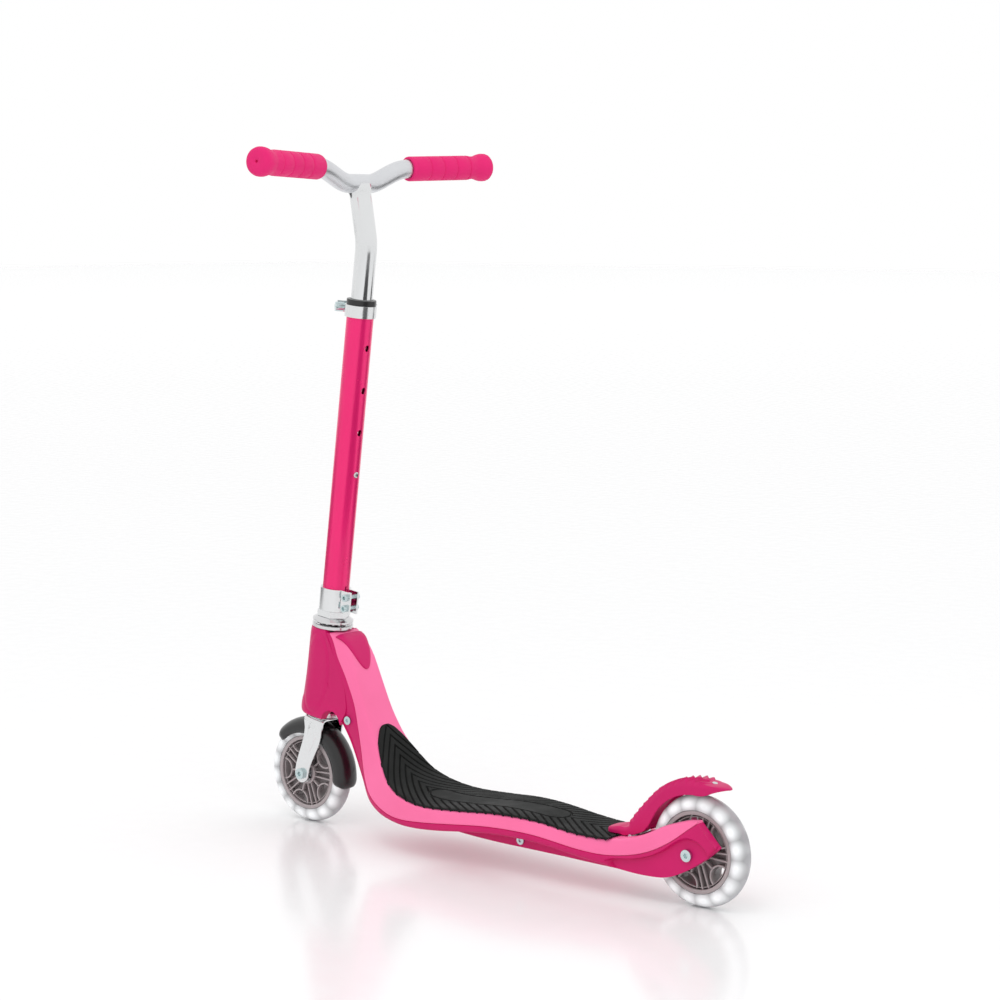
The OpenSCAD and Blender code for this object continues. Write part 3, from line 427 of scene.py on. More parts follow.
body_rows = smooth(stations, 4)
print("stations:", len(stations), "ribs:", len(body_rows))


def both_halves(half):
    return half + [Vector((p.x, -p.y, p.z)) for p in reversed(half[1:-1])]


def section(start, end, outline):
    """Points (half width, depth) hung from start towards end, as one closed rib."""
    down = (end - start).normalized()
    return both_halves([start + down * depth * MM + Vector((0, y * MM, 0)) for y, depth in outline])


# %% [markdown]
# The pink cover is the part that frames the footboard and climbs the neck. Its edge is a soft shoulder
# that leans out to the colour line. It is lofted as a closed form, so that the wheel's slot can be cut
# out of it cleanly.

# %% Pink cover
def cover_rib(top_x, top_z, rim, line_x, line_z, side, *rest):
    top, line = spot(top_x, 0, top_z), spot(line_x, 0, line_z)
    depth = (line - top).length / MM
    shoulder = min(3.6, depth * 0.3)
    return section(top, line, [
        (0, 0), (rim * 0.5, 0), (rim - 2, 0), (rim + 0.6, 0.25 * shoulder), (rim + 1.8, shoulder),
        (rim + 1.8 + (side - rim - 1.8) * 0.7, depth * 0.72), (side, depth - 1.2), (side - 0.35, depth - 0.1),
        (side - 3, depth), (0, depth),
    ])


def wheel_slot():
    half_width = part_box("rear_dropouts")[1].y / MM
    return block((190, 2 * half_width, 220), spot(92 - 95, 0, 90), bevel=6)


cover = show(lofted([cover_rib(*row) for row in body_rows]), "pink_cover", "frame", pink_plastic,
             ["top_cover"])
subdivide(cover)
settle(cover)
carve(cover, wheel_slot())
dress(cover, 40)
print("pink cover faces:", len(cover.data.polygons))

# %% [markdown]
# The magenta hull hangs under the colour line. Along the footboard its wall is short and turns in to a
# narrow keel. At the arms and at the neck the wall runs the whole depth. A hollow is scooped out of each
# arm, where the axle bolt sits.

# %% Magenta hull
def hull_rib(line_x, line_z, side, belly_x, belly_z, keel, wall):
    line, belly = spot(line_x, 0, line_z), spot(belly_x, 0, belly_z)
    depth = (belly - line).length / MM
    edge = wall * depth
    left = depth - edge
    middle = (side + keel) / 2
    return section(line, belly, [
        (0, 0), (side - 3, 0), (side - 0.4, 0.05), (side - 0.15, 1.0), (side - 0.8, max(edge - 2.4, 2.4)),
        (side - 2.4, max(edge - 0.4, 3)), (middle, edge + min(0.8, left)), (keel + 1.6, edge + min(1.6, left)),
        (keel, edge + min(5, left / 2)), (keel - 0.4, depth - min(3, left / 2)), (keel - 3, depth), (0, depth),
    ])


arm_recess = smooth([
    (-27, 61), (-22, 69), (-10, 75.5), (3, 76), (16, 70), (30, 60.5), (46, 52.5), (66, 46.5), (92, 42.5), (96, 36),
    (70, 22), (20, 20), (-14, 30), (-27, 46), (-27, 61),
], 5)[:-1]
recess_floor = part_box("rear_axle_bolt")[1].y / MM - 4


def arm_scoop(side):
    """A recess with a leaning floor, deepest along its upper edge, and walls that lean outwards."""
    middle_x, middle_z, half_length, half_height = 30, 46, 60, 30
    top_edge, deepest, lean = 76, recess_floor - 1.6, 4.6
    ribs = []
    for rise, grow in ((0, 0), (0.7, 0.4), (5, 3.4), (16, 14)):
        ribs.append([spot(x + grow * (x - middle_x) / half_length,
                          side * (deepest + rise + lean * (top_edge - z) / middle_z),
                          z + grow * (z - middle_z) / half_height)
                     for x, z in arm_recess])
    return lofted(ribs)


hull = show(lofted([hull_rib(*row[3:]) for row in body_rows]), "magenta_hull", "frame", magenta_plastic,
            ["lower_shell"])
subdivide(hull)
settle(hull)
carve(hull, wheel_slot())
for side in (1, -1):
    carve(hull, arm_scoop(side))
dress(hull, 40)
print("magenta hull faces:", len(hull.data.polygons))

# %% [markdown]
# The head shroud wraps the head tube. It is rounder in front and flat at the sides, and it flares a
# little over the fork. Ribs laid across the steering axis describe it well. The notch at its lower rim
# leaves room for the fork's shoulders.

# %% Head shroud
def contour(back, up):
    """A soft step round the shroud's side panel, in millimetres."""
    edge = sqrt(((back - 2) / 21) ** 2 + ((up - 131) / 47) ** 2)
    return 0.9 * min(max((1.0 - edge) * 9, 0), 1) - 0.55 * max(0, 1 - abs(edge - 1.04) / 0.05)


def shroud_rib(up, reach, half_width, back):
    arc = []
    for i in range(24):
        a = i * pi / 48
        ahead, left = reach * cos(a), half_width * sin(a)
        arc.append(stack(ahead, left + contour(-ahead, up) * sin(a) ** 2, up))
    sides = [back * i / 24 for i in range(25)]
    wall = [stack(u, half_width + contour(-u, up), up) for u in sides]
    return both_halves(arc + wall + [stack(back, 0, up)])


shroud_rows = smooth([
    (77.5, 26.0, 24.6, -46), (78.2, 28.6, 26.2, -50), (83, 29.8, 27.2, -52), (92, 29.6, 26.8, -56),
    (98, 28.4, 26.0, -57), (106, 27.8, 25.6, -56), (125, 26.8, 24.9, -50), (150, 26.2, 24.6, -34),
    (172, 25.8, 24.6, -20), (180, 25.4, 24.2, -14), (183.4, 24.6, 23.6, -11), (184.8, 23.2, 22.4, -10),
], 10)
shroud = show(lofted([shroud_rib(*row) for row in shroud_rows]), "head_shroud", "frame", magenta_plastic,
              ["head_shell"])
carve(shroud, moved(turned([(0, -45), (16, -45), (16, 45), (0, 45)], 64), across_at(stack(-35, 0, 76))))
carve(shroud, moved(turned([(0, 60), (25.2, 60), (25.2, 90), (0, 90)], 96), along_steering(0)))
dress(shroud, 40)

# %% [markdown]
# Behind the headset a smooth saddle closes the top of the neck, as a tongue that ends in a round tip.
# The same kind of tongue ends the footboard's mat. Both are a grid of quads laid on the body's top line:
# one direction runs along the line and the other across it, narrowing to the tip.

# %% Laying a sheet on the top line
top_line = smooth([(row[0], row[1]) for row in stations], 12)
line_points = [spot(x, 0, z) for x, z in top_line]
line_length = [0.0]
for before, after in zip(line_points, line_points[1:]):
    line_length.append(line_length[-1] + (after - before).length / MM)


def on_top_line(distance):
    """The place and the outward direction at a distance along the top line."""
    i = 0
    while i < len(line_length) - 2 and line_length[i + 1] < distance:
        i += 1
    share = (distance - line_length[i]) / (line_length[i + 1] - line_length[i])
    ahead = (line_points[i + 1] - line_points[i]).normalized()
    return line_points[i].lerp(line_points[i + 1], share), Vector((-ahead.z, 0, ahead.x))


def distance_at(x):
    return next(d for d, p in zip(line_length, line_points) if p.x >= rear_axle.x + x * MM)


def laid_sheet(start, end, half_width, height, columns, rows):
    """A grid from start to end along the top line. half_width(d) and height(d, y) are in millimetres."""
    bm = bmesh.new()
    bmesh.ops.create_grid(bm, x_segments=columns, y_segments=rows, size=1)
    for vert in bm.verts:
        distance = start + (end - start) * (vert.co.x + 1) / 2
        y = vert.co.y * half_width(distance)
        place, outward = on_top_line(distance)
        vert.co = place + outward * height(distance, y) * MM + Vector((0, y * MM, 0))
    return bm


def tongue(distance, tip, length, width):
    """Half width of a tongue with a round tip: an ellipse over its last stretch."""
    share = min(max((distance - (tip - length)) / length, 0), 1)
    return max(width * sqrt(max(1 - share * share, 0)), 0.05)


saddle_end = line_length[-1]
saddle_start = saddle_end - 50


def saddle_width(distance):
    share = max(distance - saddle_start, 0) / (saddle_end - saddle_start)
    return max(22.5 * share ** 0.5, 0.05)


def saddle_height(distance, y):
    edge = abs(y) / max(saddle_width(distance), 0.01)
    return 1.3 * (1 - edge ** 8) + 0.25 - 0.012 * max(abs(y) - 12, 0) ** 2


saddle = show(laid_sheet(saddle_start, saddle_end, saddle_width, saddle_height, 60, 24), "neck_saddle", "frame",
              magenta_plastic, ["neck_cap"])
thicken(saddle, 1.5)

# %% [markdown]
# ## The footboard mat
# The mat is black rubber with a herringbone of grooves that points up the neck and a long plain pad in
# the middle. The grooves could be bump in the finish, but then the mat's edge would stay smooth, while
# real grooves notch it. Here they are real: the grid is fine enough for the height of each vertex to
# follow the pattern, which repeats wherever distance plus a share of the side distance is the same.

# %% Footboard mat
mat_start, mat_tip = distance_at(95), distance_at(455.5)
mat_widths = smooth([(95, 35), (140, 37.4), (180, 37.6), (200, 39.4), (240, 44.4), (280, 49), (320, 52.2),
                     (345, 53.2), (372, 51.4), (400, 46.5), (420, 39), (433, 32), (446, 25), (470, 20)], 6)
mat_thick = 2.1
mat_border = 2.4
groove_pitch = 13.5
groove_width = 3.4
groove_depth = 1.7
groove_slant = 1.35
pad_start, pad_end, pad_half = distance_at(196), distance_at(362), 15.5


def mat_width(distance):
    x = (on_top_line(distance)[0].x - rear_axle.x) / MM
    at = next((i for i in range(1, len(mat_widths)) if mat_widths[i][0] >= x), len(mat_widths) - 1)
    (x0, w0), (x1, w1) = mat_widths[at - 1], mat_widths[at]
    width = w0 + (w1 - w0) * min(max((x - x0) / (x1 - x0), 0), 1)
    return tongue(distance, mat_tip, 34, width + 0.4)


def pad_distance(distance, y):
    beyond = max(pad_start - distance, distance - pad_end, 0)
    return sqrt(beyond * beyond + y * y) - pad_half


def dip(distance, centre, half):
    return max(0, 1 - (abs(distance - centre) / half) ** 4)


def mat_height(distance, y):
    width = mat_width(distance)
    to_edge = min(width - abs(y), mat_tip - distance + 0.5)
    height = mat_thick - 1.6 * max(0, 1 - to_edge / mat_border) ** 2
    off_pad = pad_distance(distance, y)
    if off_pad > mat_border:
        phase = (distance + groove_slant * abs(y)) % groove_pitch - groove_pitch / 2
        height -= groove_depth * dip(phase, 0, groove_width / 2) * min(1, max(0, (off_pad - mat_border) / 1.2))
    elif off_pad > 0:
        height -= 1.2
    return height


mat = show(laid_sheet(mat_start, mat_tip, mat_width, mat_height, 520, 120), "footboard_mat", "frame",
           mat_rubber, ["tread_mat"])
print("mat faces:", len(mat.data.polygons))

# %% [markdown]
# ## The wheels
# Each wheel has a clear tyre over a smoked core, and small lights in the core make bright patches in the
# tyre. The tyre is turned from one profile. The lights could be lamps, but a patch that glows in the
# tyre's own finish is steadier: each face of the lathe gets a UV that counts the lights round the wheel.

# %% Clear tyre finish
light_count = 16


def tyre_finish():
    material = finish("clear_tyre", (0.8, 0.81, 0.83), (0.14, 0.22), drift=0.02,
                      Transmission_Weight=0.35, IOR=1.4)
    tree = material.node_tree
    shader = tree.nodes["Principled BSDF"]
    uv = tree.nodes.new("ShaderNodeUVMap")
    uv.uv_map = "lights"
    parts = tree.nodes.new("ShaderNodeSeparateXYZ")
    tree.links.new(uv.outputs["UV"], parts.inputs["Vector"])

    def math(kind, first, second=0.0):
        node = tree.nodes.new("ShaderNodeMath")
        node.operation = kind
        for socket, value in zip(node.inputs, (first, second)):
            if isinstance(value, (int, float)):
                socket.default_value = value
            else:
                tree.links.new(value, socket)
        return node.outputs["Value"]

    turn = math("ABSOLUTE", math("SUBTRACT", math("FRACT", parts.outputs["X"]), 0.5))
    out = math("ABSOLUTE", math("SUBTRACT", parts.outputs["Y"], 0.46))
    spread = math("SQRT", math("ADD", math("POWER", math("MULTIPLY", turn, 1.8), 2.0),
                               math("POWER", math("MULTIPLY", out, 2.0), 2.0)))
    patch = mapped(tree, spread, 0.3, 1.15, 1.0, 0.0)
    rim = mapped(tree, parts.outputs["Y"], 0.8, 1.0, 0.0, 1.0)
    ramp = tree.nodes.new("ShaderNodeMix")
    ramp.data_type = "RGBA"
    tree.links.new(patch, ramp.inputs["Factor"])
    ramp.inputs["A"].default_value = (0.48, 0.48, 0.49, 1)
    ramp.inputs["B"].default_value = (0.86, 0.88, 0.9, 1)
    shade = tree.nodes.new("ShaderNodeMix")
    shade.data_type = "RGBA"
    tree.links.new(rim, shade.inputs["Factor"])
    tree.links.new(ramp.outputs["Result"], shade.inputs["A"])
    shade.inputs["B"].default_value = (0.5, 0.5, 0.52, 1)
    tree.links.new(shade.outputs["Result"], shader.inputs["Base Color"])
    glow = tree.nodes.new("ShaderNodeCombineColor")
    for channel in ("Red", "Green", "Blue"):
        tree.links.new(patch, glow.inputs[channel])
    tree.links.new(glow.outputs["Color"], shader.inputs["Emission Color"])
    shader.inputs["Emission Strength"].default_value = 0.3
    return material


clear_tyre = tyre_finish()

# %% Tyres
core_r = 44.5
tyre_r = axle_height
tyre_half = 12.0


def tyre_profile():
    round_r = 11.0
    outer = [(tyre_r - round_r + round_r * cos(a), tyre_half * sin(a) * (1 - 0.1 * cos(a) ** 2))
             for a in [radians(d) for d in range(-90, 91, 6)]]
    wall = [(core_r + 3.2, tyre_half), (core_r + 0.6, tyre_half - 0.5), (core_r + 0.1, tyre_half - 1.5)]
    lower = [(r, -h) for r, h in reversed(wall)]
    inner = [(core_r + 0.1, 0)]
    return lower + outer + wall + inner + lower[:1]


def light_uv(piece, centre):
    layer = piece.data.uv_layers.new(name="lights")
    for face in piece.data.polygons:
        middle = face.center - centre
        base = atan2(middle.z, middle.x)
        for loop in face.loop_indices:
            place = piece.data.vertices[piece.data.loops[loop].vertex_index].co - centre
            angle = atan2(place.z, place.x)
            if angle - base > pi:
                angle -= 2 * pi
            elif base - angle > pi:
                angle += 2 * pi
            radius = sqrt(place.x ** 2 + place.z ** 2) / MM
            layer.data[loop].uv = (angle / (2 * pi) * light_count + light_count,
                                   (radius - core_r) / (tyre_r - core_r))


def tyre(name, body, centre, node):
    piece = show(moved(turned(tyre_profile(), 128), across_at(centre)), name, body, clear_tyre, [node])
    light_uv(piece, centre)
    return piece


tyre("rear_clear_tyre", "rear_wheel", rear_axle, "rear_tyre")
tyre("front_clear_tyre", "front_wheel", front_axle, "front_tyre")

# %% [markdown]
# The smoked core is a rim band and a hub joined by thin ribs: five round petals with a pair of spokes
# between them, all standing on a recessed disc with a few windows. Each rib is drawn as a short wall in
# plan and extruded to the wheel's face, so that both faces of the wheel show the same pattern.

# %% Wheel cores
def plan_wall(line, thickness, low, high):
    """A wall of even thickness along a plan line of (x, y) points, from one height to another."""
    ribs = []
    for i, (x, y) in enumerate(line):
        before, after = line[max(i - 1, 0)], line[min(i + 1, len(line) - 1)]
        ahead = Vector((after[0] - before[0], after[1] - before[1], 0)).normalized()
        out = Vector((-ahead.y, ahead.x, 0)) * thickness / 2
        middle = Vector((x, y, 0))
        ribs.append([(middle + side * out + Vector((0, 0, z))) * MM
                     for side, z in ((1, low), (1, high), (-1, high), (-1, low))])
    return lofted(ribs)


def arc_line(centre, radius, start, end, steps=20):
    return [(centre[0] + radius * cos(radians(start + (end - start) * i / steps)),
             centre[1] + radius * sin(radians(start + (end - start) * i / steps))) for i in range(steps + 1)]


def joined(meshes):
    bm = bmesh.new()
    for part in meshes:
        mesh = bpy.data.meshes.new("part")
        part.to_mesh(mesh)
        part.free()
        bm.from_mesh(mesh)
        bpy.data.meshes.remove(mesh)
    return bm


petal_r = 12.5
rib_half = 11.0
hub_r = 14.0
petals = 5


def core_mesh():
    parts = [
        turned([(hub_r - 3, rib_half), (hub_r - 0.6, rib_half), (hub_r, rib_half - 0.6), (hub_r, -rib_half + 0.6),
                (hub_r - 0.6, -rib_half), (hub_r - 3, -rib_half), (hub_r - 3, rib_half)]),
        turned([(core_r - 4.6, rib_half - 0.5), (core_r - 4.1, rib_half), (core_r - 0.5, rib_half),
                (core_r, rib_half - 0.6), (core_r, -rib_half + 0.6), (core_r - 0.5, -rib_half),
                (core_r - 4.1, -rib_half), (core_r - 4.6, -rib_half + 0.5), (core_r - 4.6, rib_half - 0.5)], 128),
        turned([(core_r - 7.4, rib_half - 2.2), (core_r - 6.2, rib_half - 2.2), (core_r - 6.2, 2 - rib_half),
                (core_r - 7.4, 2 - rib_half), (core_r - 7.4, rib_half - 2.2)], 128),
    ]
    for i in range(petals):
        turn = i * 360 / petals
        place = (cos(radians(turn)) * (core_r - 7), sin(radians(turn)) * (core_r - 7))
        parts.append(plan_wall(arc_line(place, petal_r, turn + 95, turn + 265), 1.8, 1 - rib_half, rib_half - 1))
        reach = [hub_r, core_r - 7 - petal_r + 0.5]
        parts.append(plan_wall([(cos(radians(turn)) * r, sin(radians(turn)) * r) for r in reach], 2.0,
                               1 - rib_half, rib_half - 1))
        for lean in (-1, 1):
            near, far = radians(turn + 36 + lean * 12), radians(turn + 36 + lean * 6)
            parts.append(plan_wall([(hub_r * cos(near), hub_r * sin(near)),
                                    ((core_r - 4.8) * cos(far), (core_r - 4.8) * sin(far))], 1.7,
                                   1 - rib_half, rib_half - 1))
    return joined(parts)


def disc_mesh():
    return turned([(hub_r - 1, 3.5), (core_r - 5, 3.5), (core_r - 5, -3.5), (hub_r - 1, -3.5), (hub_r - 1, 3.5)], 96)


def window_cutter():
    parts = []
    for i in range(petals):
        turn = radians(i * 360 / petals)
        bm = turned([(0, -6), (7, -6), (7, 6), (0, 6)], 32)
        bmesh.ops.scale(bm, vec=(0.85, 1.5, 1), verts=bm.verts)
        place = Matrix.Rotation(turn, 4, "Z") @ Matrix.Translation((33 * MM, 0, 0))
        parts.append(moved(bm, place))
    return joined(parts)


def core(name, body, centre, node):
    piece = show(moved(core_mesh(), across_at(centre)), name, body, smoked_plastic, [node])
    soften(piece, 0.3, 2)
    disc = show(moved(disc_mesh(), across_at(centre)), name + "_disc", body, smoked_plastic)
    carve(disc, moved(window_cutter(), across_at(centre)))
    dress(disc)
    return piece


core("rear_wheel_core", "rear_wheel", rear_axle, "rear_core")
core("front_wheel_core", "front_wheel", front_axle, "front_core")

# %% [markdown]
# ## The brake
# The fender is a thick moulded arch over the rear tyre. Its outer face carries a rising tread of
# V-shaped teeth, its tip tapers to a point, and its foot lies on the end of the footboard. The arch is a
# loft of ribs set round the axle, with the teeth worked into the radius of each rib.

# %% Fender
def round_rear(angle, radius):
    return radius * cos(radians(angle)), axle_height + radius * sin(radians(angle))


def mat_top(x):
    """Height of the mat's face, and a hair more, at a distance in front of the rear axle."""
    return on_top_line(distance_at(x))[0].z / MM + mat_thick + 0.4


# inner x, z | outer x, z | half width | share of the teeth | share of the side skirts
fender_rows = []
for x, thick, half in ((119.4, 1.6, 4), (118.4, 4.2, 8), (115, 6.2, 11.8), (108, 7.4, 14.2), (99, 8.6, 15)):
    fender_rows.append((x, mat_top(x), x + (119.4 - x) * 0.1, mat_top(x) + thick, half, 0, 0))
fender_rows.append((89, mat_top(89) - 1.9, 93.5, 73.6, 15, 0, 0))
for angle in (9, 15, 21, 27, 33, 39):
    flare = ((45 - angle) / 25) ** 2
    share = min(max((angle - 3) / 12, 0), 1)
    fender_rows.append((*round_rear(angle, 65.5 + 6 * max(0, (27 - angle) / 18) ** 2),
                        *round_rear(angle, 76 + 6.4 * flare), 15, share, share))
for angle in range(45, 94, 6):
    fender_rows.append((*round_rear(angle, 65.5), *round_rear(angle, 76), 15, 1, 1))
fender_rows += [
    (*round_rear(98, 65.6), *round_rear(98, 76.2), 15, 0.3, 0.75),
    (*round_rear(103, 66.8), *round_rear(103, 76.8), 14.5, 0, 0.35),
    (*round_rear(108, 70.4), *round_rear(108, 78.2), 12.6, 0, 0),
    (*round_rear(112, 74.4), *round_rear(112, 79.4), 9.6, 0, 0),
    (*round_rear(115.4, 77.8), *round_rear(115.4, 80.2), 5.6, 0, 0),
    (*round_rear(117.4, 79.4), *round_rear(117.4, 80.4), 2, 0, 0),
]
fender_rows = smooth(fender_rows, 12)
tooth_pitch = 9.2
tooth_height = 3.3


def fender_rib(row, distance):
    inner, outer = spot(row[0], 0, row[1]), spot(row[2], 0, row[3])
    half, share = row[4], row[5]
    up = (outer - inner).normalized()
    thick = (outer - inner).length / MM
    columns = 12

    def tooth(y):
        saw = ((distance + 0.75 * abs(y)) % tooth_pitch) / tooth_pitch
        return tooth_height * share * min(saw * 1.15, (1 - saw) * 7, 1)

    crown = [(half * 0.86 * i / columns, thick + tooth(half * i / columns) - 0.8 * (i / columns) ** 3)
             for i in range(columns + 1)]
    skirt = 3.6 * row[6]
    lip = min(13.2, half * 0.9)
    wall = [(half * 0.95, thick - min(2.2, thick * 0.3)), (half, thick - min(4.2, thick * 0.5)), (half, thick * 0.4),
            (half, 0.6 - skirt), (half - min(0.5, half * 0.1), -skirt), (lip, -skirt), (lip - 0.2, 0), (0, 0)]
    return both_halves([inner + up * height * MM + Vector((0, y * MM, 0)) for y, height in crown + wall])


fender_ribs = []
fender_run = 0
for before, row in zip([fender_rows[0]] + fender_rows, fender_rows):
    fender_run += sqrt((row[2] - before[2]) ** 2 + (row[3] - before[3]) ** 2)
    fender_ribs.append(fender_rib(row, fender_run))
fender = show(lofted(fender_ribs), "brake_fender", "fender_brake", magenta_plastic, ["fender"],
              sharp=32)
print("foot rests at:", round(mat_top(110), 2))
print("fender faces:", len(fender.data.polygons), "run in mm:", round(fender_run))

# %% [markdown]
# The front mudguard is a thin glossy black channel. A section shaped like a wide U is swept round the
# axle. The top is crowned a little, and the flanges come down beside the tyre. Its wall gets its
# thickness from a Solidify modifier, and its ends are rounded by letting the section shrink.

# %% Front mudguard
guard_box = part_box("front_mudguard")
guard_outer = 67.0
guard_half = guard_box[1].y / MM


def guard_rib(angle, share):
    """share runs from 0 at an end, where the channel is only its crown, to 1 where it is full."""
    a = radians(angle)
    out = Vector((cos(a), 0, sin(a)))
    half = guard_half - 0.05
    deep = 0.18 + 0.82 * share
    crown = [(15.4 * sin(radians(t)), -11.5 * (1 - cos(radians(t)))) for t in range(0, 91, 8)]
    shape = [(y * (0.55 + 0.45 * share), r * deep - 5.5 * (1 - share)) for y, r in crown]
    shape += [(half * (0.55 + 0.45 * share), shape[-1][1] - (1.5 + 5.5 * share) * k / 2) for k in (1, 2)]
    profile = [(-y, r) for y, r in reversed(shape[1:])] + shape
    return [front_axle + out * (guard_outer + r) * MM + Vector((0, y * MM, 0)) for y, r in profile]


guard_angles = [40 + 152 * i / 76 for i in range(77)]
guard_ribs = []
for angle in guard_angles:
    to_end = min(angle - guard_angles[0], guard_angles[-1] - angle)
    guard_ribs.append(guard_rib(angle, sqrt(max(0, 1 - (1 - min(to_end / 10, 1)) ** 2))))
guard_mesh = lofted(guard_ribs, closed=False)
bmesh.ops.recalc_face_normals(guard_mesh, faces=guard_mesh.faces)
guard = show(guard_mesh, "glossy_mudguard", "steering", black_plastic, ["front_mudguard"])
thicken(guard, 1.7)
print("mudguard half width:", round(guard_half, 1))

# %% [markdown]
# ## The fork
# The fork is one strip of chromed steel, pressed and folded into an upside-down U. It is lofted along the
# line of the fold: each rib is a thin slat, and the slat's width follows the outline that the press cuts.
# A teardrop swage on each leg stiffens it, and here it is a raised area of the outer face.

# %% Fork
leg_middle = 17.5
crown_height = 72.5
fork_corner = 5.5


def fork_line():
    line = [(leg_middle, s) for s in [-11, -10.8, -10.4, -9.6, -8.4, -6.8, -5, -3, -1]]
    line += [(leg_middle, float(s)) for s in range(1, 67, 1)]
    for i in range(9):
        a = radians(90 * i / 8)
        line.append((leg_middle - fork_corner + fork_corner * cos(a),
                     crown_height - fork_corner + fork_corner * sin(a)))
    line += [(y, crown_height) for y in (9, 6, 3, 0)]
    return line + [(-y, s) for y, s in reversed(line[:-1])]


def fork_width(up, turned_in):
    """Edges of the strip, behind and ahead of the steering axis."""
    if up < 0:
        half = sqrt(max(121 - up * up, 1))
        return 12 - half, 12 + half
    t = min(up / 56, 1)
    ease = t * t * (3 - 2 * t)
    back, front = 1 + (-14 - 1) * ease, 23 + (13.4 - 23) * ease
    return back - 1.2 * turned_in, front + 3.2 * turned_in


def fork_rib(place, along):
    y, up = place
    normal = Vector((along[1], -along[0]))
    turned_in = min(max((up - 58) / 14, 0), 1)
    back, front = fork_width(up, turned_in)
    columns = 22
    outer, inner = [], []
    for i in range(columns + 1):
        t = i / columns
        u = back + (front - back) * t
        edge = min(t, 1 - t) * (front - back)
        fall = 0.6 * max(0, 1 - edge / 0.9) ** 2
        long_way = (up - 50) / 17 if up > 50 else (50 - up) / 23
        wide = max(2.2, 8.0 - 0.16 * max(50 - up, 0))
        inside = 1 - sqrt(long_way ** 2 + ((u - 0.6 - 0.11 * max(50 - up, 0)) / wide) ** 2) if up < 67 else 0
        swage = 1.3 * min(max(inside * 3.2, 0), 1)
        outer.append((u, 1.5 - fall + swage))
        inner.append((u, -1.5 + fall))
    shape = outer + inner[::-1]
    sign = 1
    return [stack(u, y + normal.x * off * sign, up + normal.y * off * sign) for u, off in shape]


fork_path = fork_line()
fork_ribs = []
for i, place in enumerate(fork_path):
    before, after = fork_path[max(i - 1, 0)], fork_path[min(i + 1, len(fork_path) - 1)]
    along = Vector((after[0] - before[0], after[1] - before[1])).normalized()
    fork_ribs.append(fork_rib(place, along))
fork = show(lofted(fork_ribs), "pressed_fork", "steering", chrome, ["fork"], sharp=40)
print("fork faces:", len(fork.data.polygons))

# %% [markdown]
# ## The column and the T-bar
# The column is a painted tube with four round height holes down its back and a slot at each end. It is
# turned as a tube with a small chamfer at each rim, and the holes and slots are cut.

# %% Column
column_r, column_bore = 15.9, 14.4
column_foot, column_head = 206, 571
height_holes = (372, 422, 472, 522)
hole_r = 3.8


def tube_profile(outer, inner, low, high, chamfer=0.4):
    return [(inner, low), (outer - chamfer, low), (outer, low + chamfer), (outer, high - chamfer),
            (outer - chamfer, high), (inner, high), (inner, low)]


column = show(moved(turned(tube_profile(column_r, column_bore, column_foot, column_head), 128), along_steering(0)),
              "painted_column", "steering", column_paint, ["column_tube"])
cutters = []
for height in height_holes:
    hole = turned([(0, 5), (hole_r, 5), (hole_r, 30), (0, 30)], 48)
    cutters.append(moved(hole, along_steering(height) @ Matrix.Rotation(-pi / 2, 4, "Y")))
for low, high, turn in ((column_foot - 5, column_foot + 31, 180), (column_head - 34, column_head + 5, -35)):
    slot = block((10, 2.4, high - low), Vector((column_r * MM, 0, (low + high) / 2 * MM)))
    cutters.append(moved(slot, along_steering(0, radians(turn))))
carve(column, joined(cutters))
soften(column, 0.25, 2, 40)
dress(column, 35)

# %% [markdown]
# The chromed stem slides inside the column and leans forward near the top, where the handlebar is welded
# across it. It is a circle lofted along a line with one bend. The weld is a low bead.

# %% Stem
stem_r = 12.7
stem_foot, bend_start, bend_r, bend_angle, bar_ahead, bar_height = 312, 632, 70, 17, 20.34, 709


def ring(centre, along, side, radius, count=48):
    along = along.normalized()
    out = along.cross(side).normalized()
    other = along.cross(out)
    return [centre + (out * cos(2 * pi * i / count) + other * sin(2 * pi * i / count)) * radius * MM
            for i in range(count)]


stem_line = [(0, stem_foot), (0, stem_foot + 1), (0, bend_start - 1)]
stem_line += [(bend_r * (1 - cos(radians(a))), bend_start + bend_r * sin(radians(a))) for a in range(bend_angle + 1)]
bend_top = stem_line[-1]
for share in (0.25, 0.5, 0.7, 0.78, 0.84, 0.9, 0.97):
    stem_line.append((bend_top[0] + (bar_ahead - bend_top[0]) * share,
                      bend_top[1] + (bar_height - bend_top[1]) * share))
stem_places = [stack(u, 0, s) for u, s in stem_line]
stem_ribs = []
for i, place in enumerate(stem_places):
    along = stem_places[min(i + 1, len(stem_places) - 1)] - stem_places[max(i - 1, 0)]
    bead = {len(stem_places) - 3: 0.9, len(stem_places) - 2: 1.6, len(stem_places) - 1: 1.2}.get(i, 0)
    stem_ribs.append(ring(place, along, Vector((0, 1, 0)), stem_r - (0.6 if i == 0 else 0) + bead))
show(lofted(stem_ribs), "bent_stem", "t_bar", chrome, ["stem_tube"])

# %% [markdown]
# The handlebar is a satin alloy tube with a dip in its middle. Its line is a Bezier curve on each side,
# and the same circle is lofted along it.

# %% Handlebar
bar_r = 11
bar_middle = stack(bar_ahead, 0, bar_height)
grip_length = 119
grip_start = bar_middle + Vector((-7, 76, 18)) * MM
grip_way = Vector((-25 / 130, 1, 0.03)).normalized()


def bezier(a, b, c, d, t):
    return (1 - t) ** 3 * a + 3 * (1 - t) ** 2 * t * b + 3 * (1 - t) * t * t * c + t ** 3 * d


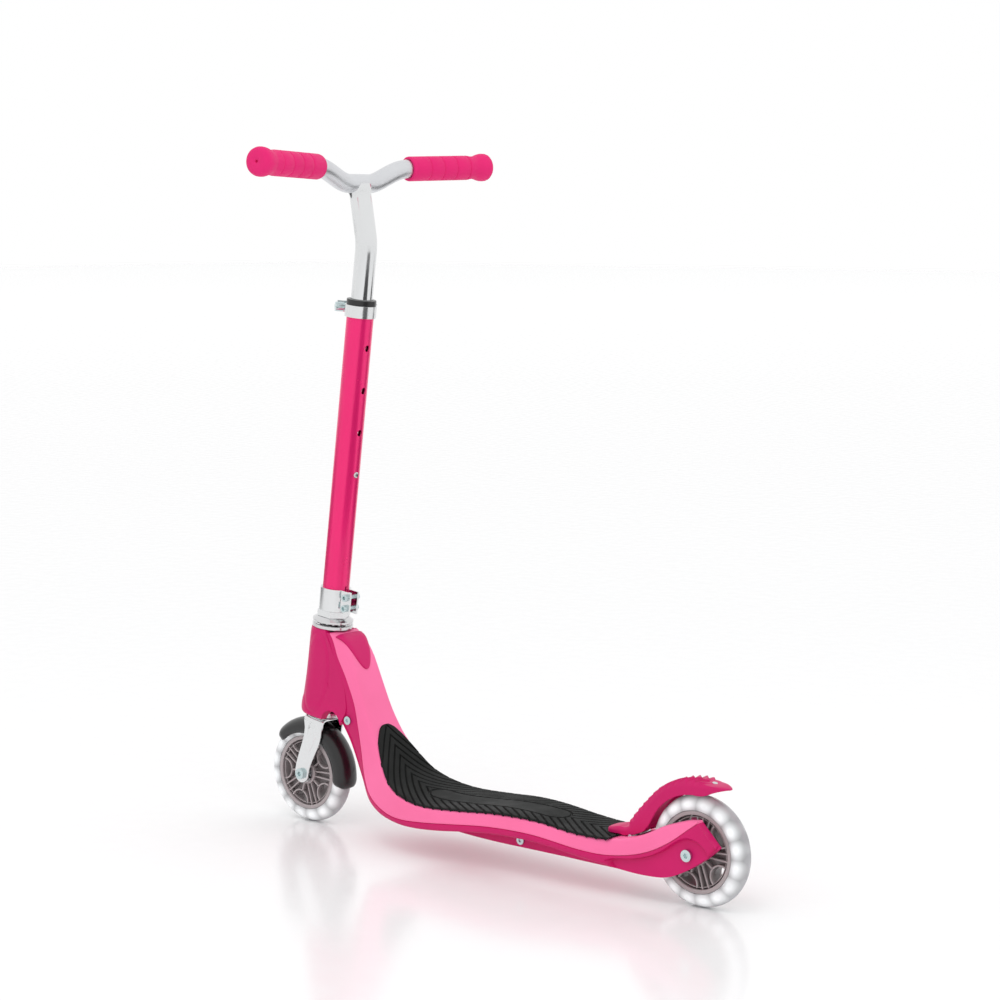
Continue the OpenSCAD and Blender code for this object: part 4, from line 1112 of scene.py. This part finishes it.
flat = Vector((0, 16, 0)) * MM
left_line = [bezier(bar_middle + flat, bar_middle + flat * 2.125, grip_start - grip_way * 24 * MM, grip_start, i / 28)
             for i in range(29)]
left_line += [grip_start + grip_way * d * MM for d in (4, 20, 60, grip_length - 4)]
bar_line = [Vector((p.x, -p.y, p.z)) for p in reversed(left_line)]
bar_line += [bar_middle + flat * t for t in (-0.5, 0, 0.5)] + left_line
bar_ribs = []
for i, place in enumerate(bar_line):
    along = bar_line[min(i + 1, len(bar_line) - 1)] - bar_line[max(i - 1, 0)]
    bar_ribs.append(ring(place, along, Vector((0, 0, 1)), bar_r))
show(lofted(bar_ribs), "swept_handlebar", "t_bar", satin_alloy, ["handlebar"])
print("bar width in mm:", round((bar_line[-1].y - bar_line[0].y) / MM))

# %% [markdown]
# Each grip is turned from one profile. Grooves run round it under the fingers, it narrows to a waist,
# and it ends in a fat stop with a small hole. Its inner end is open and shows the wall.

# %% Grips
def grip_profile():
    points = [(11.1, 6), (11.1, 0.6), (11.6, 0), (13.4, 0), (14.2, 0.7), (14.5, 2), (14.5, 20)]
    for groove in (26, 45.5, 65, 84.5):
        points += [(14.5, groove - 1.4), (14.35, groove - 1.0), (13.6, groove - 0.45), (13.5, groove),
                   (13.6, groove + 0.45), (14.35, groove + 1.0), (14.5, groove + 1.4)]
    end = grip_length
    points += [(14.3, end - 31), (13.8, end - 28), (13.4, end - 25), (13.5, end - 22), (14.4, end - 18.5),
               (15.6, end - 15), (16.3, end - 11.5), (16.5, end - 8.5), (16.3, end - 5.5), (15.5, end - 3),
               (13.8, end - 1), (11, end - 0.2), (7, end), (2.2, end), (1.6, end - 0.6), (1.5, end - 3), (0, end - 3)]
    return points


def along_way(start, way):
    return Matrix.Translation(start) @ Vector((0, 0, 1)).rotation_difference(way).to_matrix().to_4x4()


for side, name in ((1, "left"), (-1, "right")):
    start = Vector((grip_start.x, side * grip_start.y, grip_start.z))
    way = Vector((grip_way.x, side * grip_way.y, grip_way.z))
    show(moved(turned(grip_profile(), 96), along_way(start, way)), name + "_rubber_grip", "t_bar", grip_rubber,
         [name + "_grip"], sharp=50)

# %% [markdown]
# ## Hardware
# The clamps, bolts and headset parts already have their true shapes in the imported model, but their edges
# are knife sharp. Real edges are broken by tumbling and plating, and they catch the light. Each part is
# copied, its loose triangles are merged and joined into flat faces, and a bevel rounds the edges. The
# copy stands for the node.

# %% Polished copies
node_body = {name: body for body, names in frame["record"]["behaviour"]["bodies"].items() for name in names}


def polished(node, material, width=0.35, segments=2, angle=32):
    bm = bmesh.new()
    bm.from_mesh(frame["nodes"][node].data)
    bmesh.ops.remove_doubles(bm, verts=bm.verts, dist=0.003 * MM)
    bmesh.ops.dissolve_limit(bm, angle_limit=radians(1.2), verts=bm.verts, edges=bm.edges)
    piece = show(bm, "smooth_" + node, node_body[node], material, [node])
    modifier = soften(piece, width, segments, angle)
    modifier.use_clamp_overlap = True
    modifier.loop_slide = True
    return piece


for node in ("lower_cup", "upper_cup", "adjusting_cone", "crown_race", "rear_spacers", "front_spacers",
             "snap_button"):
    polished(node, bearing_steel, 0.25)
for node in ("lock_nut", "lower_clamp", "upper_clamp"):
    polished(node, chrome, 0.45)
polished("clamp_lever", chrome, 1.1, 4)
for node in ("rear_axle_bolt", "rear_axle_nut", "front_axle_bolt", "front_axle_nut", "lower_clamp_bolts",
             "clamp_skewer", "adjuster_nut", "mudguard_screw", "shell_bolts", "fender_pin"):
    polished(node, zinc_steel, 0.3)
polished("fender_rivet", bearing_steel, 0.6, 3)
polished("column_bushing", black_plastic, 0.8, 3)
polished("rear_dropouts", dark_steel, 0.4)

# %% [markdown]
# Every node that stays as it was packed gets a finish too, chosen by what it is made of. Nodes that a
# piece stands for get one as well, so nothing is left plain.

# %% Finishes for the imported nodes
finish_of = {
    "dark_steel": (dark_steel, ["spine_tube", "head_tube", "rear_dropouts"]),
    "magenta": (magenta_plastic, ["lower_shell", "head_shell", "fender", "neck_cap"]),
    "pink": (pink_plastic, ["top_cover"]),
    "rubber": (mat_rubber, ["tread_mat", "brake_liner"]),
    "grips": (grip_rubber, ["left_grip", "right_grip"]),
    "zinc": (zinc_steel, ["shell_bolts", "rear_axle_bolt", "front_axle_bolt", "rear_axle_nut", "front_axle_nut",
                          "lower_clamp_bolts", "clamp_skewer", "adjuster_nut", "mudguard_screw", "fender_pin"]),
    "springs": (spring_steel, ["fender_spring", "button_spring", "rear_magnet_sleeve", "front_magnet_sleeve"]),
    "chrome": (chrome, ["fork", "lock_nut", "lower_clamp", "upper_clamp", "clamp_lever", "stem_tube"]),
    "paint": (column_paint, ["column_tube"]),
    "plastic": (black_plastic, ["column_bushing", "front_mudguard"]),
    "alloy": (satin_alloy, ["handlebar"]),
    "tyres": (clear_tyre, ["rear_tyre", "front_tyre"]),
    "cores": (smoked_plastic, ["rear_core", "front_core"]),
    "lights": (light_board, ["rear_led_ring", "front_led_ring"]),
}
material_of = {node: material for material, nodes in finish_of.values() for node in nodes}
for name, node in frame["nodes"].items():
    material = material_of.get(name, bearing_steel)
    if not node.material_slots:
        node.data.materials.append(material)
    for material_slot in node.material_slots:
        material_slot.material = material
    node.data.shade_smooth()
    node.data.set_sharp_from_angle(angle=radians(35))
print("nodes finished:", len(frame["nodes"]))

# %% [markdown]
# ## The set
# A pale floor with a little gloss gives the soft reflection of a studio sweep. The world is a bright even
# white. A large soft light from the front left models the forms, and a second from the right opens the
# shadows.

# %% Floor
floor_bm = bmesh.new()
bmesh.ops.create_grid(floor_bm, x_segments=1, y_segments=1, size=30)
floor_mesh = bpy.data.meshes.new("studio_floor")
floor_bm.to_mesh(floor_mesh)
floor_bm.free()
floor = bpy.data.objects.new("studio_floor", floor_mesh)
bpy.context.scene.collection.objects.link(floor)
floor_paint = finish("studio_floor", (0.95, 0.95, 0.955), (0.14, 0.2), drift=0.0)
floor_paint.node_tree.nodes["Principled BSDF"].inputs["Specular IOR Level"].default_value = 0.35
floor_mesh.materials.append(floor_paint)

# %% Lights
def soft_light(name, place, target, size, power, tall=None):
    data = bpy.data.lights.new(name, "AREA")
    data.shape = "RECTANGLE"
    data.size = size
    data.size_y = tall or size
    data.energy = power
    light = bpy.data.objects.new(name, data)
    light.visible_glossy = False
    bpy.context.scene.collection.objects.link(light)
    place, target = Vector(place), Vector(target)
    light.matrix_world = Matrix.Translation(place) @ (target - place).to_track_quat("-Z", "Y").to_matrix().to_4x4()
    return light


soft_light("key", (-0.4, 1.4, 3.0), (0, 0, 0.3), 1.2, 9)
soft_light("fill", (-2.6, 0.9, 1.0), (0, 0, 0.3), 1.2, 5)

# %% [markdown]
# Chrome shows what lies round it. In an even white room it would look flat, so three dark sheets lie on
# the floor, as a studio would spread black card. Only mirror-like reflections see them: they cast no
# shadow. They could stand upright, but then the polished floor would mirror them, while a sheet that lies
# flat and is clear from below never shows in the floor.

# %% World and dark sheets
world = bpy.data.worlds.new("white_studio")
world.use_nodes = True
world.node_tree.nodes["Background"].inputs["Color"].default_value = (1, 1, 1, 1)
world.node_tree.nodes["Background"].inputs["Strength"].default_value = 1.0
bpy.context.scene.world = world
black_card = finish("black_card", (0.03, 0.03, 0.032), (0.8, 0.9))
card_tree = black_card.node_tree
below = card_tree.nodes.new("ShaderNodeNewGeometry")
clear = card_tree.nodes.new("ShaderNodeBsdfTransparent")
either = card_tree.nodes.new("ShaderNodeMixShader")
card_tree.links.new(below.outputs["Backfacing"], either.inputs["Fac"])
card_tree.links.new(card_tree.nodes["Principled BSDF"].outputs["BSDF"], either.inputs[1])
card_tree.links.new(clear.outputs["BSDF"], either.inputs[2])
card_tree.links.new(either.outputs["Shader"], card_tree.nodes["Material Output"].inputs["Surface"])


def dark_sheet(name, bearing, near, far, width):
    bm = bmesh.new()
    bmesh.ops.create_grid(bm, x_segments=1, y_segments=1, size=0.5)
    bmesh.ops.scale(bm, vec=(far - near, width, 1), verts=bm.verts)
    bmesh.ops.translate(bm, vec=((near + far) / 2, 0, 0.5 * MM), verts=bm.verts)
    bmesh.ops.rotate(bm, matrix=Matrix.Rotation(radians(bearing), 3, "Z"), verts=bm.verts)
    mesh = bpy.data.meshes.new(name)
    bm.to_mesh(mesh)
    bm.free()
    mesh.materials.append(black_card)
    sheet = bpy.data.objects.new(name, mesh)
    bpy.context.scene.collection.objects.link(sheet)
    sheet.visible_camera = False
    sheet.visible_diffuse = False
    sheet.visible_shadow = False
    sheet.visible_transmission = False


dark_sheet("sheet_near", 165, 0.75, 3.2, 1.5)
dark_sheet("sheet_right", 252, 0.9, 3.4, 1.1)
dark_sheet("sheet_left", 12, 2.5, 9, 3.2)

# %% Camera
camera_data = bpy.data.cameras.new("camera")
camera_data.lens = 86.3
camera_data.sensor_width = 36
camera = bpy.data.objects.new("camera", camera_data)
bpy.context.scene.collection.objects.link(camera)
camera_place = (-1.7185, 2.031, 0.720)
looks_along = Vector((0.6397, -0.7600, -0.1150))
turned_to = looks_along.to_track_quat("-Z", "Y").to_matrix().to_4x4()
camera.matrix_world = Matrix.Translation(camera_place) @ turned_to
bpy.context.scene.camera = camera
bpy.context.scene.view_settings.view_transform = "Standard"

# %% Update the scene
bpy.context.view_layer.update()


def plain(box):
    return [[round(float(v), 6) for v in corner] for corner in box]
